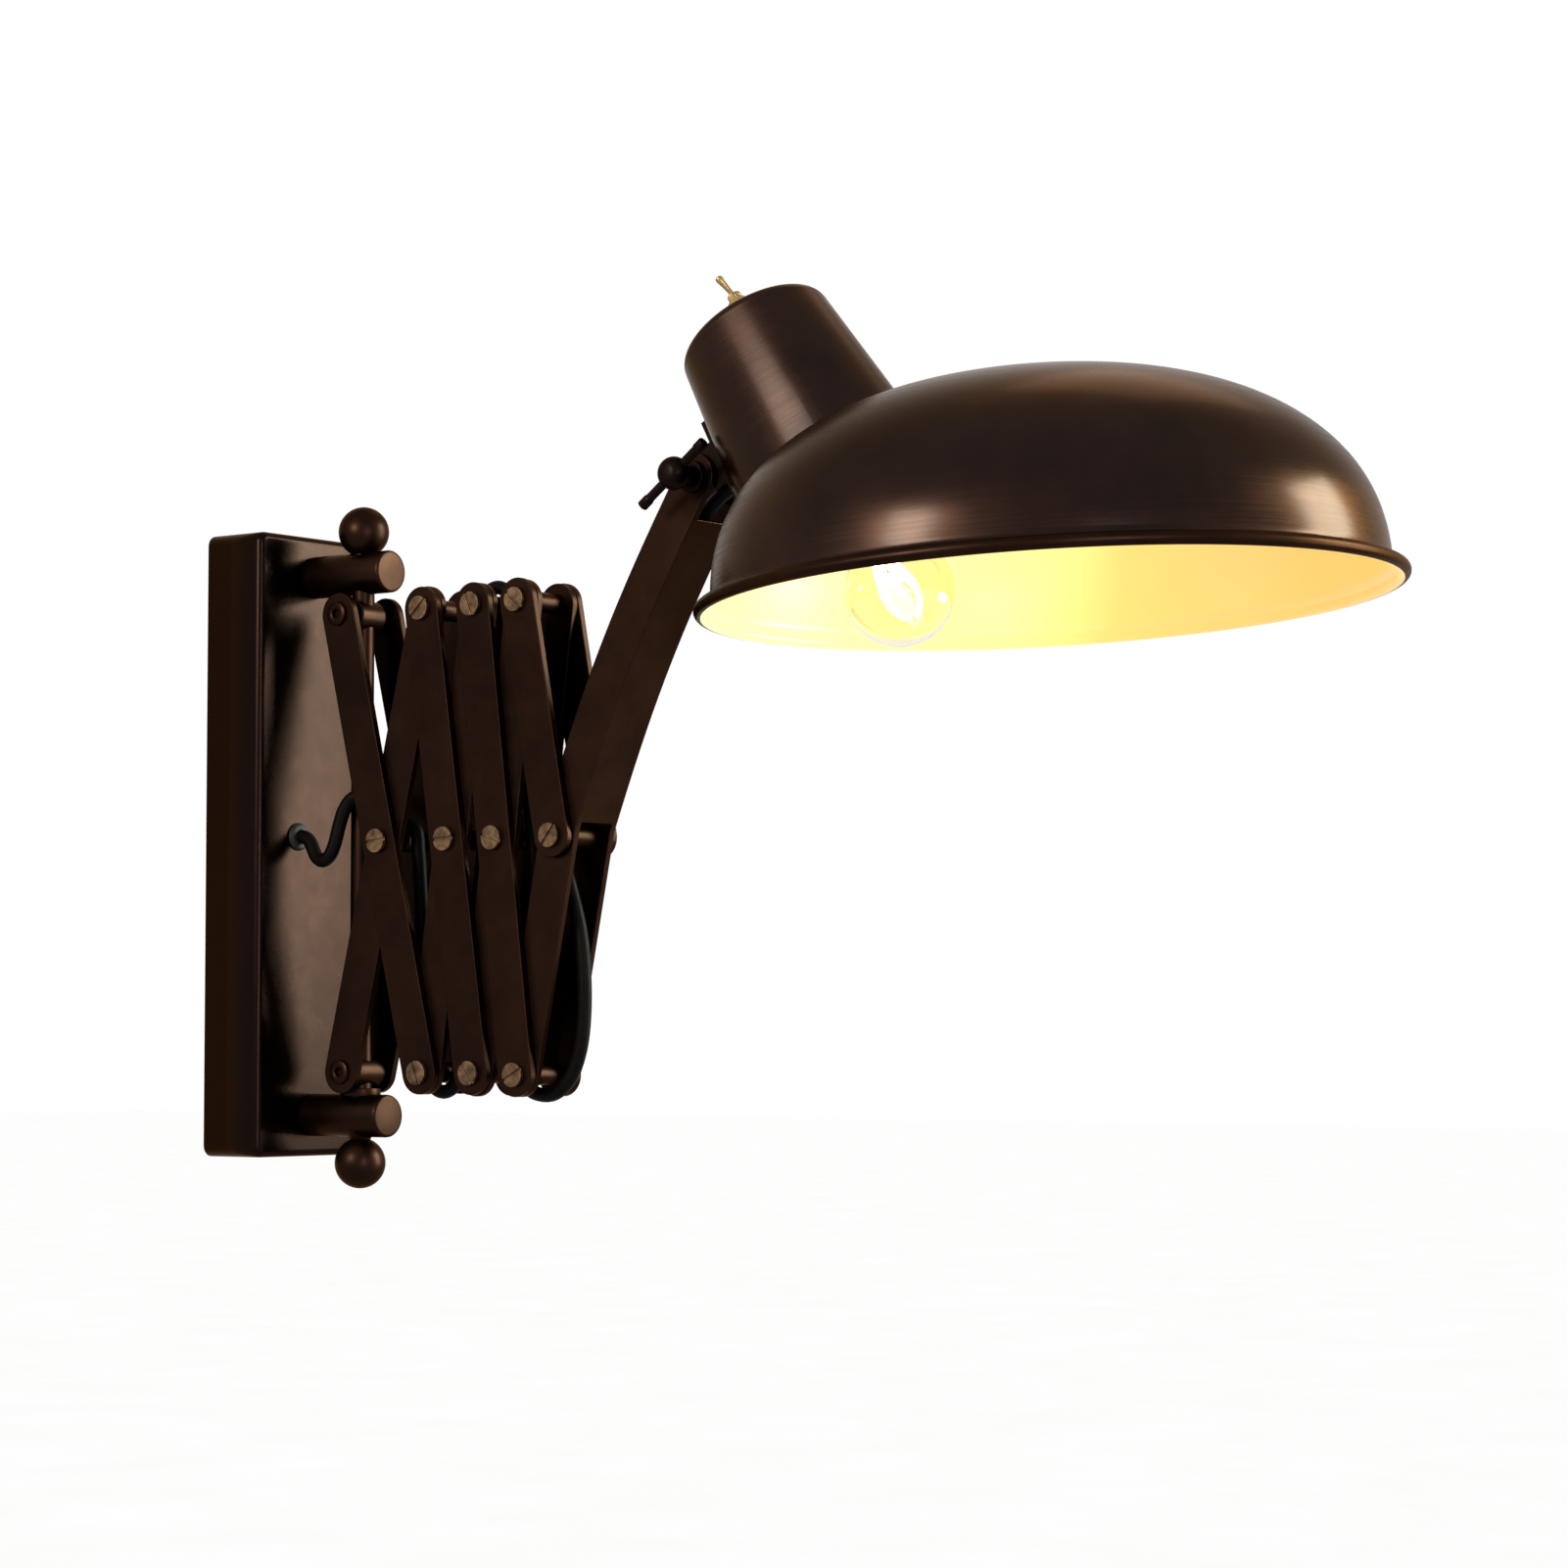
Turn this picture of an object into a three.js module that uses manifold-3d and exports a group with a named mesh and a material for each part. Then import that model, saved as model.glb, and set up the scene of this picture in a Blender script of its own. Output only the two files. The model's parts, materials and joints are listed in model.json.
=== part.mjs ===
// Accordion wall lamp: a scissor bracket on a swivelling rod that carries a spun dome shade.
// Millimetres. X runs along the wall, the wall is the plane Y = 0 and the lamp reaches out
// towards -Y. Z is up. A place in the side view is written (out, up), with out = -Y.
import * as THREE from 'three';
import { mergeVertices } from 'three/addons/utils/BufferGeometryUtils.js';
import Module from 'manifold-3d';

const wasm = await Module();
wasm.setup();

// Driving dimensions
const gap = 0.3;
const overrun = 2;
const weld = 0.0001;

const cover = {
  height: 280, width: 70, depth: 33, wall: 1.2, edgeRadius: 4, cornerRadius: 5,
  cornerSteps: 2, edgeSteps: 3,
};
const bar = { width: 36, inset: 9, thickness: 4, screwHole: 5.2, screwRise: 72 };
const post = {
  inset: 18.5, diameter: 19, reach: 80, chamfer: 1.5, stud: 8, studBack: 0.4,
  spotFace: 15, spotRise: 8.5, sides: 16,
};
const sleeve = { diameter: 16 };
const rod = { reach: 63, diameter: 10, threadDiameter: 6, threadLength: 12, sides: 16 };
const finial = { ballRadius: 11.35, neckDiameter: 14, ballRise: 12, sides: 16, ballSteps: 7 };
const washer = { diameter: 18 };

const link = { width: 19, thickness: 3.2, bore: 5.6, looseBore: 8.6, stubBore: 7.6 };
const spacer = { halfLength: 9.7, diameter: 9, wideDiameter: 10.7, sides: 12 };
const screw = {
  shank: 5, head: 10.5, headHeight: 1.8, slotWidth: 1.3, slotDepth: 0.9,
  nutAcross: 8, nutHeight: 2.4, tail: 1.2, sides: 10,
};
const barrel = {
  diameter: 14, bore: 10.4, stub: 7, collar: 8, upperHalfLength: 7.5, rivetHead: 11,
  rivetHeight: 1.5, rivetHollow: 4, rivetDepth: 3, sides: 12,
};

// The scissor at rest: the room between each barrel and its post, how much shorter the later
// bars are from pin to pin than the first, and how far each pair leans from upright
const scissor = {
  lowRoom: 19.5, highRoom: 19.475, secondShorter: 2.1, thirdShorter: 2.1, fourthShorter: 0.8,
  firstLean: 13.7, secondLean: 8.4, thirdLean: 7.1, fourthLean: 11,
};
const arm = {
  bend: 15.9, upperLength: 166.1, endRadius: 10, web: 2, webStart: 10, webEnd: 16,
  webLap: 1,
};

const neck = {
  lean: 33.45, reach: 51.2, rise: 39.5, topRadius: 32.95, halfAngle: 5.5, wall: 1.2,
  edgeRadius: 5, edgeSteps: 3, length: 126, sides: 28,
};
const shade = {
  lean: 3.7, reach: 109.2, drop: 143.5, flare: 6.9, height: 87.5, power: 2.33, wall: 1,
  rimRadius: 141.7, beadRadius: 2.75, turnIn: 1, rise: 3.5, skirt: 60, steps: 9, sides: 36,
};
const bracket = {
  thickness: 2.4, earRadius: 9, plateAbove: 18.5, plateBelow: 21.5, screwAbove: 12.5,
  screwBelow: 16.5, cordDrop: 8.8, cordHole: 7.8,
};
const smallScrew = { shank: 3, bore: 3.6, head: 5.6, headHeight: 1.8, tail: 2.5 };
const tiltBolt = {
  shank: 6, bore: 6.6, hub: 12.6, hubLength: 6.5, halfSpan: 16.5, tipRadius: 3.2,
  waist: 4.6, wingLength: 5, wingAngle: 37, nutAcross: 11, nutLength: 4.5, tail: 1.5,
};
const holderPlate = { drop: 52, thickness: 1.5 };
const nipple = { diameter: 10, bore: 7.2, length: 7.5 };
const holder = {
  capRadius: 15, radius: 19.5, skirtRadius: 21, shoulder: 6.2, bodyLength: 42, lipLength: 6,
  boreRadius: 13.5, boreDepth: 21.5, lipSlope: 2, sides: 16,
};
const lampCap = {
  radius: 13, contactRadius: 4.5, contactHeight: 1.5, taper: 3.9, taperRadius: 10, inset: 0.6,
  length: 26.9, sides: 16,
};
const bulb = { radius: 22.8, centre: 23.3, throatRadius: 12.2, waistRise: 8.7, steps: 7, sides: 20 };
const toggle = {
  along: -20.8, across: 11.5, bodyLength: 11, bodyWidth: 6, bodyHeight: 12, bodySet: 2,
  bush: 6, bushBore: 6.6, bushHeight: 6, cup: 4, cupDepth: 2.6, nutAcross: 8, nutHeight: 2.4,
  ball: 1.5, lever: 1.1, leverLength: 11, tip: 1.7, lean: 25, sides: 10,
};

const grommet = { along: -10, up: 3.5, flange: 13, flangeHeight: 2, nose: 8, noseLength: 8, bore: 7.4 };
const terminal = { width: 26, height: 16, depth: 13, up: -24, wireHole: 4, pitch: 8, screwDepth: 2 };
const cord = { diameter: 6.2, sides: 8 };

// Sides of drilled holes, and points on each round end of a bar
const holeSides = 10;
const arcSegments = 5;

// Heights of the posts and of the lowest pivot, and each pair's half length, from the wall cover
const postRise = cover.height / 2 - post.inset;
const lowestPivot = scissor.lowRoom - postRise;
const barrelSpan = 2 * postRise - scissor.lowRoom - scissor.highRoom;
const firstHalf = barrelSpan / (2 * Math.cos(radians(scissor.firstLean)));
const first = { half: firstHalf, lean: scissor.firstLean };
const second = { half: firstHalf - scissor.secondShorter, lean: scissor.secondLean };
const third = { half: firstHalf - scissor.thirdShorter, lean: scissor.thirdLean };
const fourth = { half: firstHalf - scissor.fourthShorter, lean: scissor.fourthLean };
const domeRadius = shade.rimRadius - shade.flare;

// Finishes
const bronze = finish(0x2a1c14, 0.42, 0.85);
const brass = finish(0x8a6a48, 0.38, 0.9);
const steel = finish(0x8d8a86, 0.4, 0.9);
const nickel = finish(0xb9b4aa, 0.3, 0.95);
const black = finish(0x151312, 0.6, 0);
const porcelain = finish(0xe9e4d8, 0.35, 0);
const litGlass = finish(0xfff0b0, 0.2, 0);

function finish(color, roughness, metalness) {
  return new THREE.MeshStandardMaterial({ color, roughness, metalness });
}

// Side view helpers
function place(out, up, along = 0) {
  return new THREE.Vector3(along, -out, up);
}

function radians(degrees) {
  return THREE.MathUtils.degToRad(degrees);
}

function bodyAt(parent, out, up, lean) {
  const group = new THREE.Group();
  group.position.copy(place(out, up));
  group.rotation.x = radians(lean);
  parent.add(group);
  return group;
}

function piece(parent, name, solid, material) {
  const mesh = new THREE.Mesh(solid.isBufferGeometry ? tidy(solid) : toGeometry(solid), material);
  mesh.name = name;
  parent.add(mesh);
  return mesh;
}

// Closed meshes: shared corners, no empty triangles, faces outward
function tidy(geometry) {
  const bare = geometry.clone();
  bare.deleteAttribute('normal');
  bare.deleteAttribute('uv');
  const merged = mergeVertices(bare, weld);
  const corners = merged.attributes.position;
  const kept = [];
  let volume = 0;
  const a = new THREE.Vector3();
  const b = new THREE.Vector3();
  const c = new THREE.Vector3();
  for (let i = 0; i < merged.index.count; i += 3) {
    const [p, q, r] = [merged.index.getX(i), merged.index.getX(i + 1), merged.index.getX(i + 2)];
    if (p === q || q === r || r === p) continue;
    kept.push(p, q, r);
    a.fromBufferAttribute(corners, p);
    b.fromBufferAttribute(corners, q);
    c.fromBufferAttribute(corners, r);
    volume += a.dot(b.cross(c));
  }
  if (volume < 0) kept.reverse();
  const closed = new THREE.BufferGeometry();
  closed.setAttribute('position', corners);
  closed.setIndex(kept);
  closed.computeVertexNormals();
  return closed;
}

function toSolid(geometry) {
  const closed = tidy(geometry);
  return new wasm.Manifold(new wasm.Mesh({
    numProp: 3,
    vertProperties: new Float32Array(closed.attributes.position.array),
    triVerts: new Uint32Array(closed.index.array),
  }));
}

function toGeometry(solid) {
  const mesh = solid.getMesh();
  const geometry = new THREE.BufferGeometry();
  const corners = new Float32Array((mesh.vertProperties.length / mesh.numProp) * 3);
  for (let i = 0; i < corners.length / 3; i += 1) {
    corners.set(mesh.vertProperties.subarray(i * mesh.numProp, i * mesh.numProp + 3), i * 3);
  }
  geometry.setAttribute('position', new THREE.BufferAttribute(corners, 3));
  geometry.setIndex(new THREE.BufferAttribute(new Uint32Array(mesh.triVerts), 1));
  geometry.computeVertexNormals();
  return geometry;
}

function cut(geometry, ...tools) {
  return tools.reduce((solid, tool) => solid.subtract(toSolid(tool)), toSolid(geometry));
}

function join(...geometries) {
  return geometries.map(toSolid).reduce((whole, next) => whole.add(next));
}

function drill(solid, ...tools) {
  return tools.reduce((rest, tool) => rest.subtract(toSolid(tool)), solid);
}

// Turned forms: the profile is [radius, height], turned about the axis that is named
function turned(profile, sides) {
  return new THREE.LatheGeometry(profile.map(([r, h]) => new THREE.Vector2(r, h)), sides);
}

function alongX(geometry) {
  return geometry.rotateZ(-Math.PI / 2);
}

function upright(geometry) {
  return geometry.rotateX(Math.PI / 2);
}

function outward(geometry) {
  return geometry.rotateX(Math.PI);
}

function rodProfile(radius, from, to) {
  return [[0, from], [radius, from], [radius, to], [0, to]];
}

function ringProfile(bore, outer, from, to) {
  return [[bore, from], [outer, from], [outer, to], [bore, to], [bore, from]];
}

// A flat plate seen from the side, from its face at faceX towards -X
function sidePlate(shape, thickness, faceX, curveSegments = arcSegments) {
  const plate = new THREE.ExtrudeGeometry(shape, { depth: thickness, bevelEnabled: false, curveSegments });
  plate.applyMatrix4(new THREE.Matrix4().set(0, 0, -1, faceX, -1, 0, 0, 0, 0, 1, 0, 0, 0, 0, 0, 1));
  return plate;
}

function roundBar(bottom, top, radius, holes) {
  const shape = new THREE.Shape();
  shape.absarc(0, top, radius, 0, Math.PI, false);
  shape.absarc(0, bottom, radius, Math.PI, 2 * Math.PI, false);
  shape.closePath();
  for (const [height, diameter] of holes) {
    const hole = new THREE.Path();
    hole.absarc(0, height, diameter / 2, 0, 2 * Math.PI, true);
    shape.holes.push(hole);
  }
  return shape;
}

function hexagon(across, bore) {
  const shape = new THREE.Shape();
  const corner = across / Math.sqrt(3);
  for (let i = 0; i < 6; i += 1) {
    const angle = (i * Math.PI) / 3;
    const method = i === 0 ? 'moveTo' : 'lineTo';
    shape[method](corner * Math.cos(angle), corner * Math.sin(angle));
  }
  shape.closePath();
  const hole = new THREE.Path();
  hole.absarc(0, 0, bore / 2, 0, 2 * Math.PI, true);
  shape.holes.push(hole);
  return shape;
}

// A closed skin over rings of equal point counts, with a fan over each end
function loft(rings) {
  const count = rings[0].length;
  const corners = rings.flat();
  const faces = [];
  for (let i = 0; i + 1 < rings.length; i += 1) {
    for (let j = 0; j < count; j += 1) {
      const k = (j + 1) % count;
      const [a, b] = [i * count + j, i * count + k];
      faces.push(a, b, b + count, a, b + count, a + count);
    }
  }
  for (const [ring, turn] of [[0, 1], [rings.length - 1, -1]]) {
    const middle = corners.length;
    const sum = rings[ring].reduce((total, p) => total.add(p), new THREE.Vector3());
    corners.push(sum.divideScalar(count));
    for (let j = 0; j < count; j += 1) {
      const [a, b] = [ring * count + j, ring * count + ((j + 1) % count)];
      if (turn > 0) faces.push(b, a, middle);
      else faces.push(a, b, middle);
    }
  }
  const geometry = new THREE.BufferGeometry().setFromPoints(corners);
  geometry.setIndex(faces);
  return geometry;
}

// A rounded rectangle in the wall's plane, at one distance out from the wall
function coverRing(width, height, radius, out) {
  const ring = [];
  const middles = [[1, 1], [-1, 1], [-1, -1], [1, -1]];
  middles.forEach(([sx, sz], quarter) => {
    for (let i = 0; i <= cover.cornerSteps; i += 1) {
      const angle = (quarter + i / cover.cornerSteps) * (Math.PI / 2);
      const x = sx * (width / 2 - radius) + radius * Math.cos(angle);
      const z = sz * (height / 2 - radius) + radius * Math.sin(angle);
      ring.push(place(out, z, x));
    }
  });
  return ring;
}

// A box of the cover's form, drawn in evenly by inset, with a rounded front edge
function coverBlock(inset, back) {
  const front = cover.depth - inset;
  const edge = cover.edgeRadius - inset;
  const rings = [];
  const sizes = (step) => {
    const drawIn = inset + edge * (1 - Math.cos(step * (Math.PI / 2)));
    const radius = Math.max(cover.cornerRadius - drawIn, inset);
    return [cover.width - 2 * drawIn, cover.height - 2 * drawIn, radius];
  };
  rings.push(coverRing(...sizes(0), back));
  for (let i = 0; i <= cover.edgeSteps; i += 1) {
    const step = i / cover.edgeSteps;
    rings.push(coverRing(...sizes(step), front - edge + edge * Math.sin(step * (Math.PI / 2))));
  }
  return loft(rings);
}

const lamp = new THREE.Group();

// Wall cover: a deep pressed box, open at the back
function wallCover() {
  const holes = [postRise, -postRise].map((up) => (
    outward(turned(rodProfile(post.stud / 2 + gap, 0, cover.depth + overrun), holeSides))
      .translate(0, 0, up)
  ));
  const cordHole = outward(turned(rodProfile(grommet.nose / 2 + gap, 0, cover.depth + overrun), holeSides))
    .translate(grommet.along, 0, grommet.up);
  return cut(coverBlock(0, 0), coverBlock(cover.wall, -overrun), ...holes, cordHole);
}

// Mounting bar: a flat steel bar that is screwed to the wall and carries both posts
function mountingBar() {
  const half = [bar.width / 2, cover.height / 2 - bar.inset];
  const shape = new THREE.Shape();
  shape.moveTo(half[0], half[1]);
  shape.lineTo(-half[0], half[1]);
  shape.lineTo(-half[0], -half[1]);
  shape.lineTo(half[0], -half[1]);
  shape.closePath();
  const holes = [
    [postRise, post.stud + 2 * gap], [-postRise, post.stud + 2 * gap],
    [bar.screwRise, bar.screwHole], [-bar.screwRise, bar.screwHole],
  ];
  for (const [up, diameter] of holes) {
    const hole = new THREE.Path();
    hole.absarc(0, up, diameter / 2, 0, 2 * Math.PI, true);
    shape.holes.push(hole);
  }
  const plate = new THREE.ExtrudeGeometry(shape, {
    depth: bar.thickness, bevelEnabled: false, curveSegments: arcSegments,
  });
  return plate.rotateX(Math.PI / 2);
}

// A post: turned boss with a stud that runs back through cover and bar, cross drilled for the rod
function turnedPost(side) {
  const radius = post.diameter / 2;
  const face = cover.depth + gap;
  const body = outward(turned([
    [0, post.studBack], [post.stud / 2, post.studBack], [post.stud / 2, face],
    [radius - post.chamfer, face], [radius, face + post.chamfer],
    [radius, post.reach - post.chamfer], [radius - post.chamfer, post.reach], [0, post.reach],
  ], post.sides));
  const rodHole = upright(turned(rodProfile(rod.diameter / 2 + gap, -radius - overrun, radius + overrun), rod.sides));
  const spot = (from, to) => upright(turned(rodProfile(post.spotFace / 2, from, to), post.sides));
  const outerSpot = side > 0 ? spot(post.spotRise, radius + overrun) : spot(-radius - overrun, -post.spotRise);
  const tools = [rodHole, outerSpot];
  if (side < 0) tools.push(upright(turned(rodProfile(washer.diameter / 2 + gap, post.spotRise, radius + overrun), post.sides)));
  tools.forEach((tool) => tool.translate(0, -rod.reach, 0));
  return cut(body, ...tools);
}

function ballFinial(side) {
  const seat = post.spotRise + gap;
  const neckRadius = finial.neckDiameter / 2;
  const middle = seat + finial.ballRise;
  const start = Math.asin(neckRadius / finial.ballRadius);
  const bore = rod.threadDiameter / 2 + gap;
  const profile = [[bore, seat], [neckRadius, seat]];
  for (let i = 0; i <= finial.ballSteps; i += 1) {
    const angle = start + ((Math.PI - start) * i) / finial.ballSteps;
    profile.push([finial.ballRadius * Math.sin(angle), middle - finial.ballRadius * Math.cos(angle)]);
  }
  const depth = seat + rod.threadLength + gap;
  profile[profile.length - 1][0] = 0;
  profile.push([0, depth], [bore, depth], [bore, seat]);
  const ball = upright(turned(profile, finial.sides));
  if (side < 0) ball.rotateX(Math.PI);
  return ball.translate(0, -rod.reach, side * postRise);
}

function pivotRod() {
  const shoulder = postRise + post.spotRise;
  const end = shoulder + rod.threadLength;
  return upright(turned([
    [0, -end], [rod.threadDiameter / 2, -end], [rod.threadDiameter / 2, -shoulder],
    [rod.diameter / 2, -shoulder], [rod.diameter / 2, shoulder],
    [rod.threadDiameter / 2, shoulder], [rod.threadDiameter / 2, end], [0, end],
  ], rod.sides)).translate(0, -rod.reach, 0);
}

function postSleeve(side) {
  const ring = ringProfile(post.stud / 2 + gap, sleeve.diameter / 2, bar.thickness + gap, cover.depth - cover.wall - gap);
  return outward(turned(ring, holeSides)).translate(0, 0, side * postRise);
}

function cordGrommet() {
  const face = cover.depth + gap;
  return outward(turned([
    [grommet.bore / 2, face - grommet.noseLength], [grommet.nose / 2, face - grommet.noseLength],
    [grommet.nose / 2, face], [grommet.flange / 2, face],
    [grommet.flange / 2 - grommet.flangeHeight / 2, face + grommet.flangeHeight],
    [grommet.bore / 2, face + grommet.flangeHeight],
    [grommet.bore / 2, face - grommet.noseLength],
  ], rod.sides)).translate(grommet.along, 0, grommet.up);
}

function terminalBlock() {
  const block = new THREE.BoxGeometry(terminal.width, terminal.depth, terminal.height)
    .translate(0, -bar.thickness - gap - terminal.depth / 2, terminal.up);
  const tools = [-1, 0, 1].map((i) => (
    outward(turned(rodProfile(terminal.wireHole / 2, 0, overrun + terminal.screwDepth), holeSides))
      .translate(i * terminal.pitch, -bar.thickness - gap - terminal.depth + terminal.screwDepth, terminal.up)
  ));
  return cut(block, ...tools);
}

piece(lamp, 'wall_cover', wallCover(), bronze);
piece(lamp, 'mounting_bar', mountingBar(), steel);
for (const [name, side] of [['upper', 1], ['lower', -1]]) {
  piece(lamp, `${name}_post_sleeve`, postSleeve(side), steel);
  piece(lamp, `${name}_post`, turnedPost(side), bronze).position.z = side * postRise;
  piece(lamp, `${name}_finial`, ballFinial(side), bronze);
}
piece(lamp, 'pivot_rod', pivotRod(), bronze);
piece(lamp, 'cord_grommet', cordGrommet(), black);
piece(lamp, 'terminal_block', terminalBlock(), porcelain);

// The thrust washer fills the space between the lower post and the lower barrel
const washerBottom = post.spotRise - postRise + gap;
const washerTop = lowestPivot - barrel.diameter / 2 - gap;
const thrustWasher = upright(turned(
  ringProfile(rod.diameter / 2 + gap, washer.diameter / 2, washerBottom, washerTop), rod.sides,
));
piece(lamp, 'thrust_washer', thrustWasher.translate(0, -rod.reach, 0), brass);

// Layers of bars on each side of the middle: the inner bars, then the outer bars
const innerFace = spacer.halfLength + gap;
const innerBack = innerFace + link.thickness;
const outerFace = innerBack + gap;
const outerBack = outerFace + link.thickness;
const headFace = outerBack + gap;

function pairOfPlates(parent, name, shape, back) {
  piece(parent, `near_${name}`, sidePlate(shape, link.thickness, -back + link.thickness), bronze);
  piece(parent, `far_${name}`, sidePlate(shape, link.thickness, back), bronze);
}

// A barrel that turns on the rod, with a hollow rivet at each end through the bars
function crossBarrel(halfLength, collar, seat) {
  const stub = barrel.stub / 2;
  const end = seat + gap + barrel.rivetHeight;
  const profile = [
    [0, end - barrel.rivetDepth], [barrel.rivetHollow / 2, end - barrel.rivetDepth],
    [barrel.rivetHollow / 2, end], [barrel.rivetHead / 2, end - barrel.rivetHeight / 3],
    [barrel.rivetHead / 2, seat + gap], [stub, seat + gap], [stub, collar],
    [barrel.collar / 2, collar], [barrel.collar / 2, halfLength], [barrel.diameter / 2, halfLength],
  ];
  const mirrored = profile.slice().reverse().map(([r, x]) => [r, -x]);
  const body = alongX(turned([...profile, ...mirrored], barrel.sides));
  const reach = barrel.diameter / 2 + overrun;
  return cut(body, upright(turned(rodProfile(barrel.bore / 2, -reach, reach), barrel.sides)));
}

// Pivot pin: a shank with a slotted head on the near side, the spacer that holds the inner bars
// apart, and a six-sided nut on the far side, tightened into one
function pivotPin(slotAngle, diameter) {
  const end = headFace + screw.nutHeight + screw.tail;
  const crown = headFace + screw.headHeight;
  const body = alongX(turned([
    [0, -crown], [screw.head / 2, -crown], [screw.head / 2, -headFace],
    [screw.shank / 2, -headFace], [screw.shank / 2, -spacer.halfLength],
    [diameter / 2, -spacer.halfLength], [diameter / 2, spacer.halfLength],
    [screw.shank / 2, spacer.halfLength], [screw.shank / 2, end], [0, end],
  ], screw.sides));
  const slot = new THREE.BoxGeometry(2 * screw.slotDepth, screw.head + overrun, screw.slotWidth)
    .rotateX(radians(slotAngle)).translate(-crown, 0, 0);
  const nut = sidePlate(hexagon(screw.nutAcross, screw.shank - gap), screw.nutHeight, headFace + screw.nutHeight);
  return drill(join(body, nut), slot);
}

function pivotPins(parent, pivots) {
  for (const [name, up, slotAngle, diameter = spacer.diameter] of pivots) {
    piece(parent, `pivot_pin_${name}`, pivotPin(slotAngle, diameter), brass).position.z = up;
  }
}

// The scissor, bar by bar outward from the wall: up bars lie inside, down bars outside
const barRadius = link.width / 2;

const swivel = bodyAt(lamp, rod.reach, lowestPivot, 0);
piece(swivel, 'lower_barrel', crossBarrel(spacer.halfLength, spacer.halfLength, innerBack), bronze);

const up0 = bodyAt(swivel, 0, 0, first.lean);
pairOfPlates(up0, 'up_bar_0', roundBar(0, 2 * first.half, barRadius, [
  [0, link.stubBore], [first.half, link.bore], [2 * first.half, link.looseBore],
]), innerBack);

const down0 = bodyAt(up0, 0, first.half, -2 * first.lean);
pairOfPlates(down0, 'down_bar_0', roundBar(-first.half, first.half, barRadius, [
  [first.half, link.stubBore], [0, link.bore], [-first.half, link.bore],
]), outerBack);
pivotPins(down0, [['middle_0', 0, 8], ['low_1', -first.half, 82]]);

const upperBody = bodyAt(down0, 0, first.half, first.lean);
piece(upperBody, 'upper_barrel', crossBarrel(barrel.upperHalfLength, innerBack, outerBack), bronze);

const up1 = bodyAt(down0, 0, -first.half, first.lean + second.lean);
pairOfPlates(up1, 'up_bar_1', roundBar(0, 2 * second.half, barRadius, [
  [0, link.bore], [second.half, link.bore], [2 * second.half, link.bore],
]), innerBack);

const down1 = bodyAt(up1, 0, second.half, -2 * second.lean);
pairOfPlates(down1, 'down_bar_1', roundBar(-second.half, second.half, barRadius, [
  [-second.half, link.bore], [0, link.bore], [second.half, link.bore],
]), outerBack);
pivotPins(down1, [['high_1', second.half, -35], ['middle_1', 0, 5], ['low_2', -second.half, 60]]);

const down2 = bodyAt(up1, 0, 2 * second.half, -second.lean - third.lean);
pairOfPlates(down2, 'down_bar_2', roundBar(-2 * third.half, 0, barRadius, [
  [0, link.bore], [-third.half, link.bore], [-2 * third.half, link.bore],
]), outerBack);
pivotPins(down2, [['high_2', 0, 75], ['middle_2', -third.half, 25], ['low_3', -2 * third.half, -20]]);

const up2 = bodyAt(down2, 0, -third.half, 2 * third.lean);
pairOfPlates(up2, 'up_bar_2', roundBar(-third.half, third.half, barRadius, [
  [-third.half, link.looseBore], [0, link.bore], [third.half, link.looseBore],
]), innerBack);

// Long arm: a folded channel whose cheeks run on below its web as the last up bars
const armBody = bodyAt(down2, 0, -2 * third.half, third.lean + fourth.lean);

function longArm() {
  const cheeks = [-innerBack + link.thickness, innerBack].flatMap((faceX) => {
    const lower = sidePlate(roundBar(0, fourth.half, barRadius, []), link.thickness, faceX);
    const upper = sidePlate(roundBar(0, arm.upperLength, barRadius, []), link.thickness, faceX);
    const tip = sidePlate(roundBar(arm.upperLength, arm.upperLength, arm.endRadius, []), link.thickness, faceX);
    for (const plate of [upper, tip]) {
      plate.rotateX(radians(arm.bend)).translate(0, 0, fourth.half);
    }
    return [lower, upper, tip];
  });
  const webLength = arm.upperLength - arm.webStart - arm.webEnd;
  const web = new THREE.BoxGeometry(2 * (innerFace + arm.webLap), arm.web, webLength)
    .translate(0, arm.web / 2 - barRadius, arm.webStart + webLength / 2)
    .rotateX(radians(arm.bend)).translate(0, 0, fourth.half);
  const across = (bore) => alongX(turned(rodProfile(bore / 2, -innerBack - overrun, innerBack + overrun), holeSides));
  return drill(
    join(...cheeks, web),
    across(link.bore),
    across(link.bore).translate(0, 0, fourth.half),
    across(tiltBolt.bore).translate(0, 0, arm.upperLength)
      .rotateX(radians(arm.bend)).translate(0, 0, fourth.half),
  );
}
piece(armBody, 'long_arm', longArm(), bronze);

const down3 = bodyAt(armBody, 0, fourth.half, -2 * fourth.lean);
pairOfPlates(down3, 'down_bar_3', roundBar(0, fourth.half, barRadius, [
  [0, link.bore], [fourth.half, link.bore],
]), outerBack);
pivotPins(down3, [['high_3', fourth.half, 50], ['middle_3', 0, -40, spacer.wideDiameter]]);

// Tilt joint: wing screw on the near side, nut on the far side
const tiltOut = arm.upperLength * Math.sin(radians(arm.bend));
const tiltUp = fourth.half + arm.upperLength * Math.cos(radians(arm.bend));
const armLean = fourth.lean;

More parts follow.
